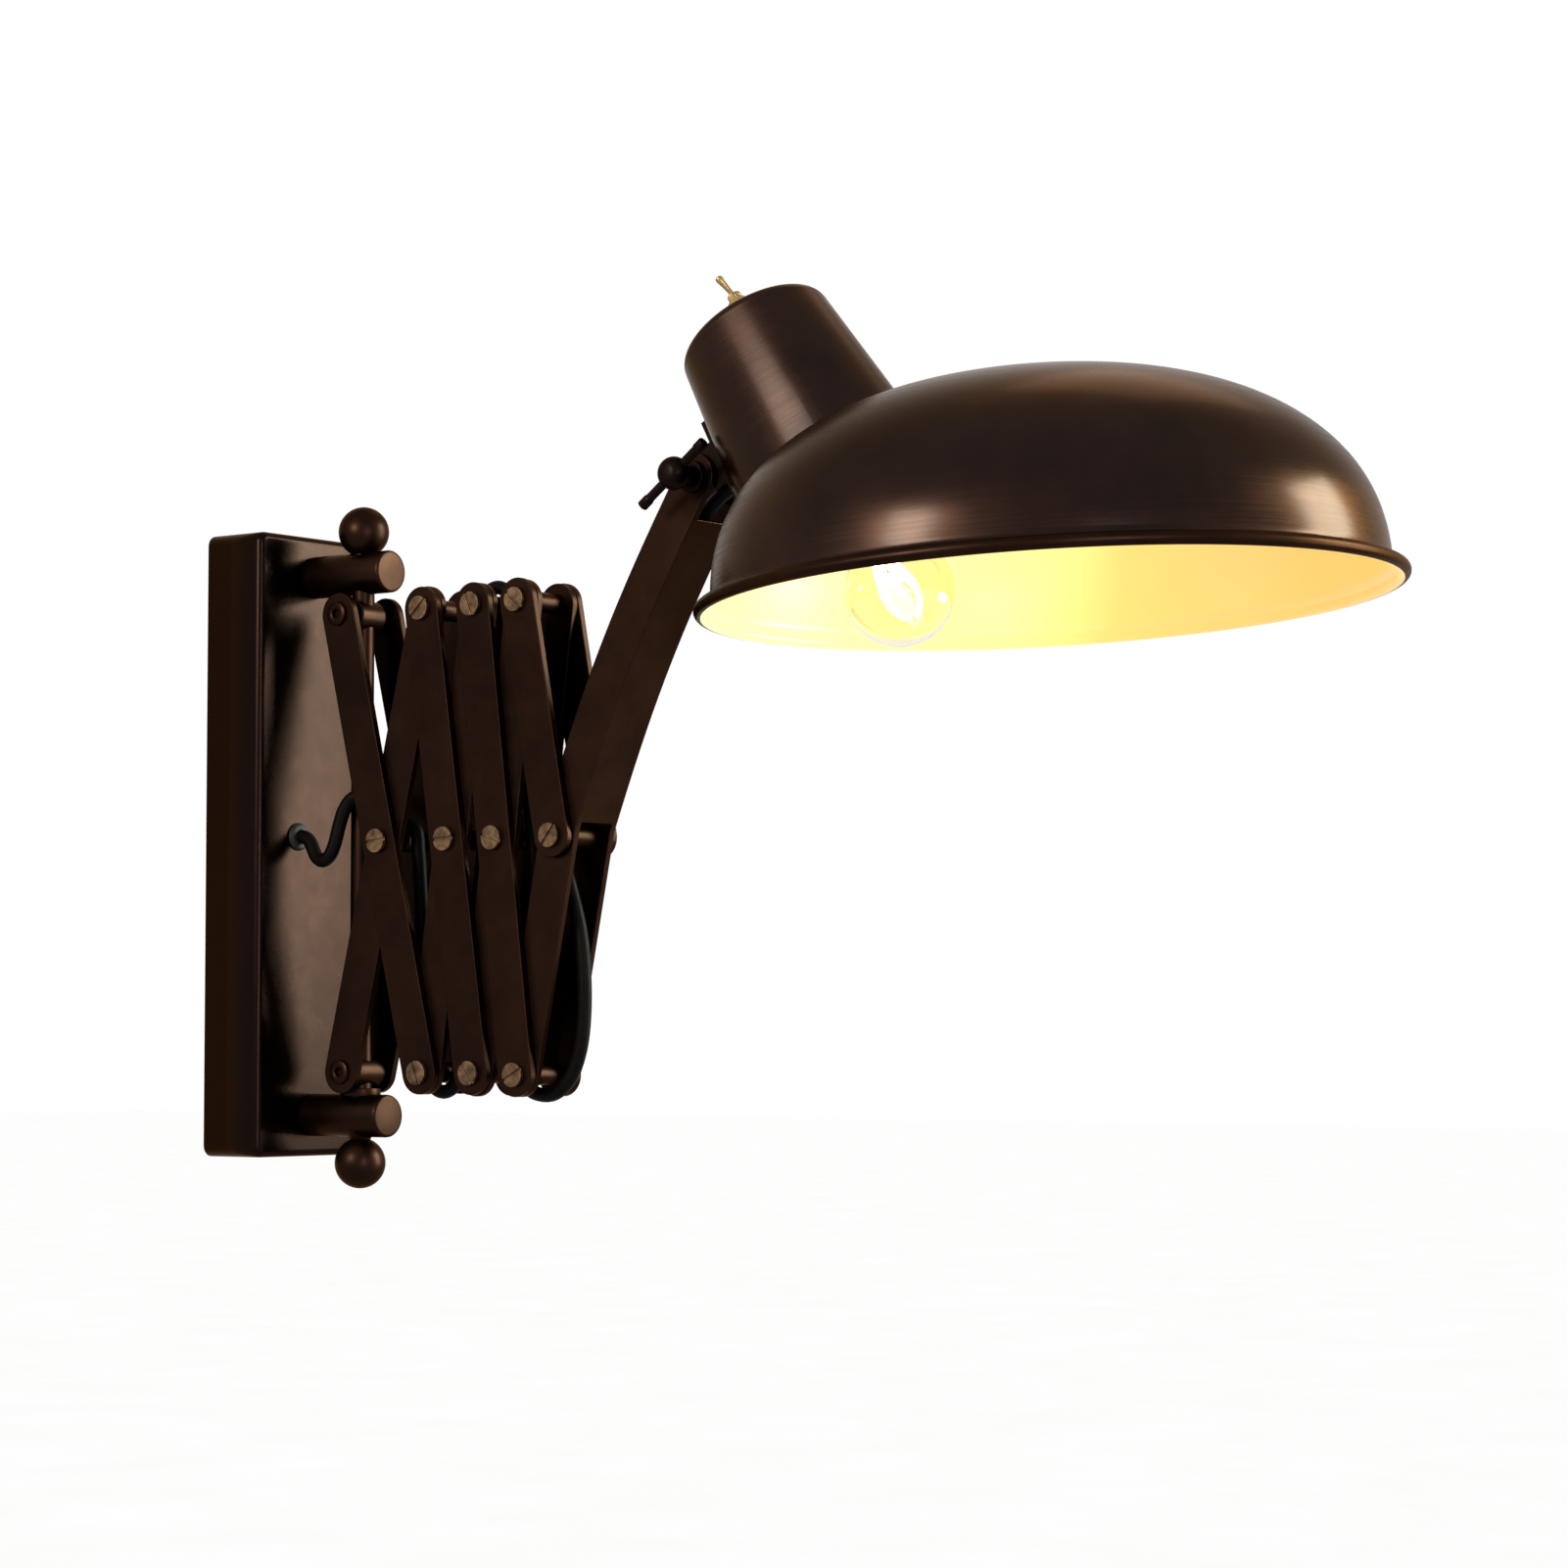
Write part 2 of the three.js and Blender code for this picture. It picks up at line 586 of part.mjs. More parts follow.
function wingScrew() {
  const face = innerBack + gap;
  const top = face + tiltBolt.hubLength;
  const end = face + tiltBolt.nutLength + tiltBolt.tail;
  const body = alongX(turned([
    [0, -top], [tiltBolt.hub / 2, -top], [tiltBolt.hub / 2, -face],
    [tiltBolt.shank / 2, -face], [tiltBolt.shank / 2, end], [0, end],
  ], rod.sides));
  const tip = tiltBolt.halfSpan - tiltBolt.tipRadius;
  const shape = new THREE.Shape();
  shape.absarc(tip, 0, tiltBolt.tipRadius, -Math.PI / 2, Math.PI / 2, false);
  shape.lineTo(0, tiltBolt.waist / 2);
  shape.absarc(-tip, 0, tiltBolt.tipRadius, Math.PI / 2, Math.PI * 1.5, false);
  shape.lineTo(0, -tiltBolt.waist / 2);
  shape.closePath();
  const wings = sidePlate(shape, tiltBolt.wingLength, -top + tiltBolt.wingLength);
  return join(body, wings.rotateX(-radians(tiltBolt.wingAngle + armLean)));
}
const tiltAxis = bodyAt(armBody, tiltOut, tiltUp, 0);
piece(tiltAxis, 'wing_screw', wingScrew(), bronze);
const tiltNut = sidePlate(hexagon(tiltBolt.nutAcross, tiltBolt.bore), tiltBolt.nutLength, innerBack + gap + tiltBolt.nutLength);
piece(tiltAxis, 'tilt_nut', tiltNut, bronze);

// The head's own frame: its origin is the tilt axis and its -Z runs down the neck's axis
const head = bodyAt(armBody, tiltOut, tiltUp, -armLean - neck.lean);

function neckRadius(drop) {
  return neck.topRadius + drop * Math.tan(radians(neck.halfAngle));
}

function onNeck(geometry) {
  return geometry.translate(0, -neck.reach, neck.rise);
}

// The neck's outside, drawn in or out evenly
function neckCone(offset, from, to) {
  return onNeck(upright(turned([
    [0, -from], [neckRadius(from) + offset, -from], [neckRadius(to) + offset, -to], [0, -to],
  ], neck.sides)));
}

function neckProfile(offset) {
  const radius = neck.edgeRadius - offset;
  const profile = [[0, -offset]];
  for (let i = 0; i <= neck.edgeSteps; i += 1) {
    const angle = ((90 - neck.halfAngle) * i) / neck.edgeSteps;
    const middle = neckRadius(neck.edgeRadius) - neck.edgeRadius;
    profile.push([middle + radius * Math.sin(radians(angle)), -neck.edgeRadius + radius * Math.cos(radians(angle))]);
  }
  profile.push([neckRadius(neck.length) - offset, -neck.length]);
  return profile;
}

// The shade's wall between rim and crown, as a superellipse drawn in evenly by offset
function crown(offset, share) {
  const angle = share * (Math.PI / 2);
  const power = 2 / shade.power;
  return [
    (domeRadius - offset) * Math.sin(angle) ** power,
    (shade.height - offset) * Math.cos(angle) ** power,
  ];
}

function crownPoints(offset) {
  const points = [];
  for (let i = 0; i < shade.steps; i += 1) points.push(crown(offset, i / shade.steps));
  points[0][0] = 0;
  return points;
}

function onShade(geometry) {
  return geometry.rotateX(radians(neck.lean - shade.lean)).translate(0, -shade.reach, -shade.drop);
}

function filledShade(offset) {
  return onShade(upright(turned([
    ...crownPoints(-offset), [domeRadius + offset, 0],
    [domeRadius + offset, -shade.skirt], [0, -shade.skirt],
  ], shade.sides)));
}

function domeShade() {
  const bead = [];
  const middle = shade.rimRadius - shade.beadRadius;
  const beadShares = [0.75, 0.375, 0, -0.375, -0.75];
  for (const share of beadShares) {
    const angle = share * Math.PI;
    bead.push([middle + shade.beadRadius * Math.cos(angle), shade.beadRadius * Math.sin(angle)]);
  }
  const shell = onShade(upright(turned([
    ...crownPoints(0), [domeRadius, shade.rise], ...bead,
    [domeRadius - shade.wall, -shade.turnIn], ...crownPoints(shade.wall).reverse(),
  ], shade.sides)));
  return cut(shell, neckCone(-neck.wall - gap, neck.edgeRadius, neck.length));
}

function switchSeat(geometry) {
  return onNeck(geometry.translate(toggle.along, -toggle.across, 0));
}

function neckCup() {
  const shell = onNeck(upright(turned([...neckProfile(0), ...neckProfile(neck.wall).reverse()], neck.sides)));
  const through = (bore, up) => outward(turned(rodProfile(bore / 2, 0, neck.reach), holeSides)).translate(0, 0, up);
  return cut(
    shell,
    filledShade(gap),
    through(smallScrew.bore, bracket.screwAbove),
    through(smallScrew.bore, -bracket.screwBelow),
    through(bracket.cordHole, -bracket.cordDrop),
    switchSeat(upright(turned(rodProfile(toggle.bushBore / 2, -overrun, overrun), holeSides))),
  );
}

// Head bracket: a U strap whose plate is hollowed to sit on the neck, leaning with its wall
function headBracket() {
  const saddle = neck.reach - neckRadius(neck.rise) - gap - bracket.thickness;
  const reachIn = neckRadius(neck.rise);
  const plateHeight = bracket.plateAbove + bracket.plateBelow;
  const plate = new THREE.BoxGeometry(2 * spacer.halfLength, reachIn, plateHeight)
    .translate(0, -reachIn / 2, bracket.plateAbove - plateHeight / 2)
    .rotateX(radians(neck.halfAngle)).translate(0, -saddle, 0);
  const ears = [-spacer.halfLength + bracket.thickness, spacer.halfLength].flatMap((faceX) => {
    const eye = sidePlate(roundBar(0, 0, bracket.earRadius, []), bracket.thickness, faceX);
    const strap = new THREE.BoxGeometry(bracket.thickness, reachIn, 2 * bracket.earRadius)
      .translate(faceX - bracket.thickness / 2, -reachIn / 2, 0);
    return [eye, strap];
  });
  const through = (bore, up) => outward(turned(rodProfile(bore / 2, 0, neck.reach), holeSides)).translate(0, 0, up);
  return drill(
    join(plate, ...ears),
    neckCone(gap, 0, neck.length),
    alongX(turned(rodProfile(tiltBolt.bore / 2, -innerFace, innerFace), holeSides)),
    through(smallScrew.bore, bracket.screwAbove),
    through(smallScrew.bore, -bracket.screwBelow),
    through(bracket.cordHole, -bracket.cordDrop),
  );
}

function bracketScrew(up) {
  const lean = Math.tan(radians(neck.halfAngle));
  const wallOut = neck.reach - neckRadius(neck.rise - up);
  const seat = wallOut - gap - bracket.thickness - gap - smallScrew.head * lean;
  return outward(turned([
    [0, seat - smallScrew.headHeight], [smallScrew.head / 2, seat - smallScrew.headHeight],
    [smallScrew.head / 2, seat], [smallScrew.shank / 2, seat],
    [smallScrew.shank / 2, wallOut + neck.wall + smallScrew.tail], [0, wallOut + neck.wall + smallScrew.tail],
  ], holeSides)).translate(0, 0, up);
}

piece(head, 'shade', domeShade(), bronze);
piece(head, 'neck_cup', neckCup(), bronze);
piece(head, 'head_bracket', headBracket(), bronze);
piece(head, 'bracket_screw_upper', bracketScrew(bracket.screwAbove), bronze);
piece(head, 'bracket_screw_lower', bracketScrew(-bracket.screwBelow), bronze);

// Lamp holder on its plate, and the lamp screwed into it, all on the neck's axis
const holderTop = holderPlate.drop + holderPlate.thickness + gap;
const holderEnd = holderTop + holder.shoulder + holder.bodyLength + holder.lipSlope;
const lipEnd = holderEnd + holder.lipLength - holder.lipSlope;
const capTop = lipEnd - holder.boreDepth + lampCap.inset;
const capEnd = capTop + lampCap.length;

function plateInNeck() {
  const radius = neckRadius(holderPlate.drop) - neck.wall - gap;
  const ring = ringProfile(nipple.diameter / 2 + gap, radius, -holderPlate.drop - holderPlate.thickness, -holderPlate.drop);
  return onNeck(upright(turned(ring, neck.sides)));
}

function lampHolder() {
  const top = -holderTop;
  return onNeck(upright(turned([
    [nipple.bore / 2, top + nipple.length], [nipple.diameter / 2, top + nipple.length],
    [nipple.diameter / 2, top], [holder.capRadius, top], [holder.radius, top - holder.shoulder],
    [holder.radius, -holderEnd + holder.lipSlope], [holder.skirtRadius, -holderEnd], [holder.skirtRadius, -lipEnd],
    [holder.boreRadius, -lipEnd], [holder.boreRadius, holder.boreDepth - lipEnd],
    [nipple.bore / 2, holder.boreDepth - lipEnd], [nipple.bore / 2, top + nipple.length],
  ], holder.sides)));
}

function bulbCap() {
  return onNeck(upright(turned([
    [0, -capTop], [lampCap.contactRadius, -capTop],
    [lampCap.contactRadius, -capTop - lampCap.contactHeight],
    [lampCap.taperRadius, -capTop - lampCap.taper + lampCap.contactHeight / 2],
    [lampCap.radius, -capTop - lampCap.taper - lampCap.contactHeight],
    [lampCap.radius, -capEnd], [0, -capEnd],
  ], lampCap.sides)));
}

function bulbGlass() {
  const top = capEnd + gap;
  const middle = capEnd + bulb.centre;
  const start = Math.acos((bulb.centre - bulb.waistRise) / bulb.radius);
  const profile = [[0, -top], [bulb.throatRadius, -top]];
  for (let i = 0; i <= bulb.steps; i += 1) {
    const angle = start + ((Math.PI - start) * i) / bulb.steps;
    profile.push([bulb.radius * Math.sin(angle), bulb.radius * Math.cos(angle) - middle]);
  }
  profile[profile.length - 1][0] = 0;
  return onNeck(upright(turned(profile, bulb.sides)));
}

piece(head, 'holder_plate', plateInNeck(), steel);
piece(head, 'lamp_holder', lampHolder(), porcelain);
piece(head, 'bulb_cap', bulbCap(), nickel);
piece(head, 'bulb_glass', bulbGlass(), litGlass);

// Toggle switch in the neck's flat top: body and bush inside, nut above, lever on its own pivot
function switchBody() {
  const box = new THREE.BoxGeometry(toggle.bodyLength, toggle.bodyWidth, toggle.bodyHeight)
    .translate(0, 0, -toggle.bodySet - toggle.bodyHeight / 2);
  const bush = upright(turned(rodProfile(toggle.bush / 2, -toggle.bodySet - overrun, toggle.bushHeight), toggle.sides));
  const cup = upright(turned([
    [0, toggle.bushHeight - toggle.cupDepth], [toggle.ball + gap, toggle.bushHeight - toggle.cupDepth],
    [toggle.cup / 2 + gap, toggle.bushHeight], [toggle.cup / 2 + gap, toggle.bushHeight + overrun],
    [0, toggle.bushHeight + overrun],
  ], toggle.sides));
  return drill(join(box, bush), cup);
}

function switchLever() {
  const end = toggle.leverLength;
  const profile = [
    [0, -toggle.ball], [toggle.ball * Math.SQRT1_2, -toggle.ball * Math.SQRT1_2],
    [toggle.ball, 0], [toggle.lever, toggle.ball], [toggle.tip, end - toggle.tip],
    [toggle.tip * Math.SQRT1_2, end - toggle.tip + toggle.tip * Math.SQRT1_2], [0, end],
  ];
  return upright(turned(profile, toggle.sides)).rotateY(-radians(toggle.lean));
}

piece(head, 'switch_body', switchBody(), nickel).position.set(toggle.along, -neck.reach - toggle.across, neck.rise);
const switchNut = new THREE.ExtrudeGeometry(hexagon(toggle.nutAcross, toggle.bush + 2 * gap), {
  depth: toggle.nutHeight, bevelEnabled: false, curveSegments: arcSegments,
});
piece(head, 'switch_nut', switchSeat(switchNut.translate(0, 0, gap)), nickel);
const leverPivot = new THREE.Group();
leverPivot.position.set(
  toggle.along, -neck.reach - toggle.across, neck.rise + toggle.bushHeight - toggle.cupDepth + toggle.ball + gap,
);
head.add(leverPivot);
piece(leverPivot, 'switch_lever', switchLever(), bronze);

// The cord, from the terminal block to the lamp holder, in the pieces that bend at one joint each.
// Each row is a point that the middle of the cord passes: along, out, up.
const cordRoute = {
  cord_wall_loop: [
    [-8, 11, -15.6], [-8.4, 11.4, -8], [-9.4, 14, -1], [-10, 20, 3.1], [-10, 27, 3.5],
    [-10, 34, 3.5], [-10, 40, 3], [-11.4, 45, -4], [-12, 50, -7.6], [-11.6, 55, -3],
    [-10.4, 59, 9], [-9.2, 64, 19], [-7.4, 70, 20.6], [-5, 76, 17],
  ],
  cord_entry: [
    [-5, 76, 17], [-2.6, 82, 13.2], [-0.8, 87.5, 9.6], [0, 95.2, 5.6], [0, 97, -4], [0, 98.2, -16],
  ],
  cord_down_bar_0: [
    [0, 98.2, -16], [0, 98.9, -26], [0, 100.94, -55], [0, 102.28, -74], [0, 102.98, -84],
  ],
  cord_turn_low: [
    [0, 102.98, -84], [0, 103.54, -92], [0, 104.24, -102], [0, 106.73, -108.01],
    [0, 112.74, -110.5], [0, 118.75, -108.01], [0, 121.24, -102], [0, 123.4, -84],
    [0, 126.6, -60], [0, 131.4, -30], [0, 135.9, 0], [0, 137.7, 20], [0, 138, 32],
  ],
  cord_turn_high: [
    [0, 138, 32], [0, 137.9, 44], [0, 136.6, 74], [0, 134.3, 101.6], [0, 136.79, 107.6],
    [0, 142.8, 110.1], [0, 148.81, 107.6], [0, 151.3, 101.6], [0, 153.6, 74], [0, 158, 38],
    [0, 163.6, 0], [0, 165, -26], [0, 164.7, -42],
  ],
  cord_free_bow: [
    [0, 164.7, -42], [0, 163.9, -58], [0, 161.8, -80], [0, 159.74, -102.6], [0, 162.23, -108.6],
    [0, 168.24, -111.1], [0, 177, -110.6], [0, 185.5, -104], [0, 191, -92], [0, 193.2, -78],
    [0, 193.2, -60], [0, 190.6, -40], [0, 184.6, -20], [0, 178.9, -1], [0, 181, 15],
    [0, 187.6, 27], [0, 197, 40], [0, 206.1, 54], [0, 219.7, 75], [0, 233.3, 96],
  ],
  cord_head: [
    [0, 233.3, 96], [0, 241.1, 108], [0, 249.6, 121.1], [0, 257, 131.6], [0, 266, 139.5],
    [0, 275, 145], [0, 284, 150.5], [0, 288.3, 155.6], [0, 290.3, 165.3], [0, 290.3, 176.1],
    [0, 293, 183.8], [0, 299.3, 184.4], [0, 303.9, 179.1], [0, 308.3, 172.4], [0, 311.7, 167.4],
  ],
};

// A curve whose even steps fall on its listed points, so that the tight turns get short steps
class RouteCurve extends THREE.CatmullRomCurve3 {
  getUtoTmapping(u) {
    return u;
  }
}

function cordTube(route) {
  const points = route.map(([along, out, up]) => place(out, up, along));
  const last = points.length - 1;
  const startStep = points[1].clone().sub(points[0]).setLength(gap / 2);
  const endStep = points[last - 1].clone().sub(points[last]).setLength(gap / 2);
  points[0].add(startStep);
  points[last].add(endStep);
  const section = new THREE.Shape();
  for (let i = 0; i < cord.sides; i += 1) {
    const angle = (2 * Math.PI * (i + 0.5)) / cord.sides;
    const method = i === 0 ? 'moveTo' : 'lineTo';
    section[method]((cord.diameter / 2) * Math.cos(angle), (cord.diameter / 2) * Math.sin(angle));
  }
  section.closePath();
  return new THREE.ExtrudeGeometry(section, {
    steps: last, extrudePath: new RouteCurve(points, false, 'centripetal'), bevelEnabled: false,
  });
}

for (const [name, route] of Object.entries(cordRoute)) piece(lamp, name, cordTube(route), black);

export default lamp;
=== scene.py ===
import json
import math

import bmesh
import bpy
from mathutils import Matrix, Vector

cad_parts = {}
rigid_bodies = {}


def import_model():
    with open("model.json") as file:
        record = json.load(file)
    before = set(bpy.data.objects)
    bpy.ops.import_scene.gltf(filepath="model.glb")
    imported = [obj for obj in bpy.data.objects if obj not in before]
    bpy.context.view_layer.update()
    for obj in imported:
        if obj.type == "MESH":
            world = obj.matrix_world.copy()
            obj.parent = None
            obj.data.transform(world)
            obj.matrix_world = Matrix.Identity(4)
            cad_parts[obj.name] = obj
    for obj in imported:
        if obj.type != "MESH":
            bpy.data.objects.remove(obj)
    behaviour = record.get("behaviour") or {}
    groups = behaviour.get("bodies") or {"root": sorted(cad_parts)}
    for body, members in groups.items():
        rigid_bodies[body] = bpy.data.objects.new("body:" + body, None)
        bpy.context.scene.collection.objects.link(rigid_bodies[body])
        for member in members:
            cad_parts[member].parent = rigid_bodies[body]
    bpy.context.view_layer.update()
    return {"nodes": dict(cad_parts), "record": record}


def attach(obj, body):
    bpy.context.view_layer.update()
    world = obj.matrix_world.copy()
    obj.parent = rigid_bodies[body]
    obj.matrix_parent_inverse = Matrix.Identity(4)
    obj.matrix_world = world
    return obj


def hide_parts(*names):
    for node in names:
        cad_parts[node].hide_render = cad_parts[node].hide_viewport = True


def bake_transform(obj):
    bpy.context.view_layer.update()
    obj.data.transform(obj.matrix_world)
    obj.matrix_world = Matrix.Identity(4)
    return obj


# Accordion wall lamp in oil-rubbed bronze. Row frame: X along the wall, -Y out of it, Z up.
# Places are written in millimetres as (out, up, along). The function at turns one into metres.
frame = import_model()
mm = 0.001
slots = {part["node"]: part["material_slot"] for part in frame["record"]["subparts"]}


def spot(out, up, along=0.0):
    return Vector((along, -out, up))


def at(out, up, along=0.0):
    return spot(out, up, along) * mm


def moved(out, up, along=0.0):
    return Matrix.Translation(spot(out, up, along))


def turnedBy(degrees, axis="X"):
    return Matrix.Rotation(math.radians(degrees), 4, axis)


def inMetres(matrix):
    copy = matrix.copy()
    copy.translation *= mm
    return copy


# Fills a node's inputs. A socket is linked, a node gives its first output, and a list gives
# several links to one input.
def feed(tree, node, inputs):
    for key, value in inputs.items():
        for source in value if isinstance(value, list) else [value]:
            if isinstance(source, bpy.types.Node):
                source = source.outputs[0]
            if isinstance(source, bpy.types.NodeSocket):
                tree.links.new(source, node.inputs[key])
            else:
                node.inputs[key].default_value = source


def addNode(tree, kind, inputs=None, **settings):
    node = tree.nodes.new(kind)
    for key, value in settings.items():
        setattr(node, key, value)
    feed(tree, node, inputs or {})
    return node


def linearColour(code):
    channels = [int(code[i:i + 2], 16) / 255 for i in (1, 3, 5)]
    linear = [c / 12.92 if c <= 0.04045 else ((c + 0.055) / 1.055) ** 2.4 for c in channels]
    return (*linear, 1.0)


# Camera: fitted to the photograph, level, 52.65 degrees round to the near side
photoView = {
    "place": (1350.12, -85.18, -1375.08), "forward": (0.79356, 0.60556, 0.05964),
    "pixels": 1601, "focalPixels": 4274.8, "sensor": 36.0, "nearest": 0.05, "furthest": 60,
}
forward = Vector(photoView["forward"]).normalized()
rightward = forward.cross(Vector((0, 0, 1))).normalized()
upward = rightward.cross(forward)
cameraData = bpy.data.cameras.new("studioCamera")
cameraData.sensor_width = photoView["sensor"]
cameraData.lens = photoView["sensor"] * photoView["focalPixels"] / photoView["pixels"]
cameraData.clip_start, cameraData.clip_end = photoView["nearest"], photoView["furthest"]
camera = bpy.data.objects.new("studioCamera", cameraData)
turn = Matrix((rightward, upward, -forward)).transposed().to_4x4()
camera.matrix_world = Matrix.Translation(at(*photoView["place"])) @ turn
bpy.context.scene.collection.objects.link(camera)
bpy.context.scene.camera = camera
bpy.context.scene.view_settings.view_transform = "Standard"  # the photograph's white stays white
print("camera placed")


# Finishes: each starts from a bare shader and the lamp's own coordinates
def startMaterial(name):
    material = bpy.data.materials.new(name)
    material.use_nodes = True
    tree = material.node_tree
    tree.nodes.clear()
    shader = addNode(tree, "ShaderNodeBsdfPrincipled")
    out = addNode(tree, "ShaderNodeOutputMaterial", {"Surface": shader})
    coords = addNode(tree, "ShaderNodeTexCoord")
    shader.location, out.location, coords.location = (300, 0), (600, 0), (-1200, 0)
    return material, tree, shader, coords.outputs["Object"]


def grainOf(tree, vector, sizeMm, detail):
    return addNode(tree, "ShaderNodeTexNoise", {
        "Vector": vector, "Scale": 1000.0 / sizeMm, "Detail": detail, "Roughness": 0.55,
    })


def rampOf(tree, factor, *stops):
    node = addNode(tree, "ShaderNodeValToRGB", {"Fac": factor})
    ramp = node.color_ramp
    while len(ramp.elements) < len(stops):
        ramp.elements.new(0.5)
    for element, (place, code) in zip(ramp.elements, stops):
        element.position = place
        element.color = linearColour(code) if isinstance(code, str) else (code, code, code, 1)
    return node


def bumpOf(tree, height, depthMm, strength):
    return addNode(tree, "ShaderNodeBump", {"Height": height, "Distance": depthMm * mm, "Strength": strength})


def vectorMath(tree, operation, first, second=None):
    inputs = {0: first} if second is None else {0: first, 1: second}
    return addNode(tree, "ShaderNodeVectorMath", inputs, operation=operation)


def mathOf(tree, operation, first, second=0.0):
    return addNode(tree, "ShaderNodeMath", {0: first, 1: second}, operation=operation)


def combined(tree, **parts):
    return addNode(tree, "ShaderNodeCombineXYZ", parts)


# Patterns of a finish, added once its tree is there: a noise with grain in millimetres that
# runs along a ramp of colours or values, and one that stands up as a relief
def tones(grainMm, *stops, detail=3.0):
    return lambda tree, vector: rampOf(tree, grainOf(tree, vector, grainMm, detail), *stops)


def relief(grainMm, depthMm, strength, detail=2.0):
    return lambda tree, vector: bumpOf(tree, grainOf(tree, vector, grainMm, detail), depthMm, strength)


def finishOf(name, inputs):
    material, tree, shader, vector = startMaterial(name)
    feed(tree, shader, {key: made(tree, vector) if callable(made) else made for key, made in inputs.items()})
    return material


headPlace = {"out": 263.269, "up": 147.783, "lean": -33.45}
neckPlace = {"reach": 51.2, "rise": 39.5, "bulbDrop": 134.5}
shadePlace = {"reach": 109.2, "drop": 143.5, "turn": 29.75}
tiltMatrix = moved(headPlace["out"], headPlace["up"])
headMatrix = tiltMatrix @ turnedBy(headPlace["lean"])
neckMatrix = headMatrix @ moved(neckPlace["reach"], neckPlace["rise"])
shadeMatrix = headMatrix @ moved(shadePlace["reach"], -shadePlace["drop"]) @ turnedBy(shadePlace["turn"])

edgeTint = linearColour("#cdbfb5")  # the bronze at a grazing angle: pale, and slightly warm


# Oil-rubbed bronze: a dark brown chemical finish on steel, rubbed back a little. Cloudy at
# about 30 mm, a satin peel at 1.2 mm that breaks the highlights up.
def rubbedBronze(name, dark, light, roughness, cloudMm=30):
    return finishOf(name, {
        "Base Color": tones(cloudMm, (0.3, dark), (0.72, light)),
        "Roughness": tones(9, (0.3, roughness), (0.75, roughness + 0.1), detail=5),
        "Normal": relief(1.2, 0.03, 0.5), "Metallic": 1.0, "Specular Tint": edgeTint,
        "Coat Weight": 0.03, "Coat Roughness": 0.3,
    })


bronze = rubbedBronze("oilRubbedBronze", "#150a06", "#21120b", 0.36)
coverBronze = rubbedBronze("smoothRubbedBronze", "#100806", "#160c09", 0.24, 140)
# Blackened steel: the hand screw and the strap, darker and duller than the rest
blackened = rubbedBronze("blackenedSteel", "#0d0706", "#160d0a", 0.44)

# Marks in a metre that the spinning leaves: across the rings, and along each ring
spinMarks = {"across": 900.0, "along": 18.0}


# Spun bronze: the same finish on the shade, whose spinning marks run round its axis about
# 0.6 mm apart. Drawn at 1.1 mm so that they show, and the highlights spread across them.
def spunBronze(name, place):
    material, tree, shader, vector = startMaterial(name)
    inverse = place.inverted()
    centred = addNode(tree, "ShaderNodeMapping", {
        "Vector": vector, "Location": inverse.to_translation(), "Rotation": inverse.to_euler(),
    })
    split = addNode(tree, "ShaderNodeSeparateXYZ", {"Vector": centred}).outputs
    fromAxis = vectorMath(tree, "LENGTH", vectorMath(tree, "MULTIPLY", centred, (1, 1, 0)))
    stretched = combined(
        tree, X=mathOf(tree, "MULTIPLY", split["X"], spinMarks["along"]),
        Y=mathOf(tree, "MULTIPLY", fromAxis.outputs["Value"], spinMarks["across"]),
        Z=mathOf(tree, "MULTIPLY", split["Z"], spinMarks["across"]),
    )
    marks = addNode(tree, "ShaderNodeTexNoise", {
        "Vector": stretched, "Scale": 1.0, "Detail": 3.0, "Roughness": 0.7,
    })
    around = vectorMath(tree, "SUBTRACT", vector, place.to_translation())
    feed(tree, shader, {
        "Base Color": tones(45, (0.3, "#170d09"), (0.75, "#281812"))(tree, vector),
        "Roughness": rampOf(tree, marks, (0.25, 0.22), (0.8, 0.36)),
        "Normal": bumpOf(tree, marks, 0.04, 0.5),
        "Tangent": vectorMath(tree, "CROSS_PRODUCT", place.to_3x3() @ Vector((0, 0, 1)), around),
        "Metallic": 1.0, "Anisotropic": 0.45, "Specular Tint": edgeTint,
        "Coat Weight": 0.1, "Coat Roughness": 0.2,
    })
    return material


spun = spunBronze("spunBronze", inMetres(shadeMatrix))
spunNeck = spunBronze("spunBronzeNeck", inMetres(neckMatrix))
# Aged brass: turned screw heads, browned in the hollows, with fine turning scratches at 0.8 mm
brass = finishOf("agedBrass", {
    "Base Color": tones(4, (0.3, "#33261b"), (0.55, "#5e4733"), (0.8, "#7e6248"), detail=4),
    "Roughness": tones(1.5, (0.3, 0.32), (0.8, 0.52)), "Normal": relief(0.8, 0.05, 0.8), "Metallic": 0.95,
})
# Cord jacket: extruded black PVC, smooth with a faint waviness every 4 mm
jacket = finishOf("pvcJacket", {
    "Base Color": tones(12, (0.3, "#030202"), (0.8, "#080504")), "Specular IOR Level": 0.03,
    "Roughness": tones(3, (0.3, 0.42), (0.8, 0.56)), "Normal": relief(4, 0.08, 0.5, 1),
})


# Painted light on the enamel: an emission colour by its distance from the bulb's middle, 30 mm to 200 mm,
# that stands in for the bulb's light
def paintedBulbLight(tree, vector):
    bulbMiddle = (neckMatrix @ Vector((0, 0, -neckPlace["bulbDrop"]))) * mm
    away = vectorMath(tree, "DISTANCE", vector, bulbMiddle).outputs["Value"]
    reach = addNode(tree, "ShaderNodeMapRange", {"Value": away, "From Min": 0.03, "From Max": 0.2})
    return rampOf(
        tree, reach, (0.0, "#fff8c0"), (0.3, "#fff8a6"), (0.47, "#fff592"), (0.57, "#eecb6f"),
        (0.72, "#e8ba6b"), (1.0, "#d8a85c"),
    )
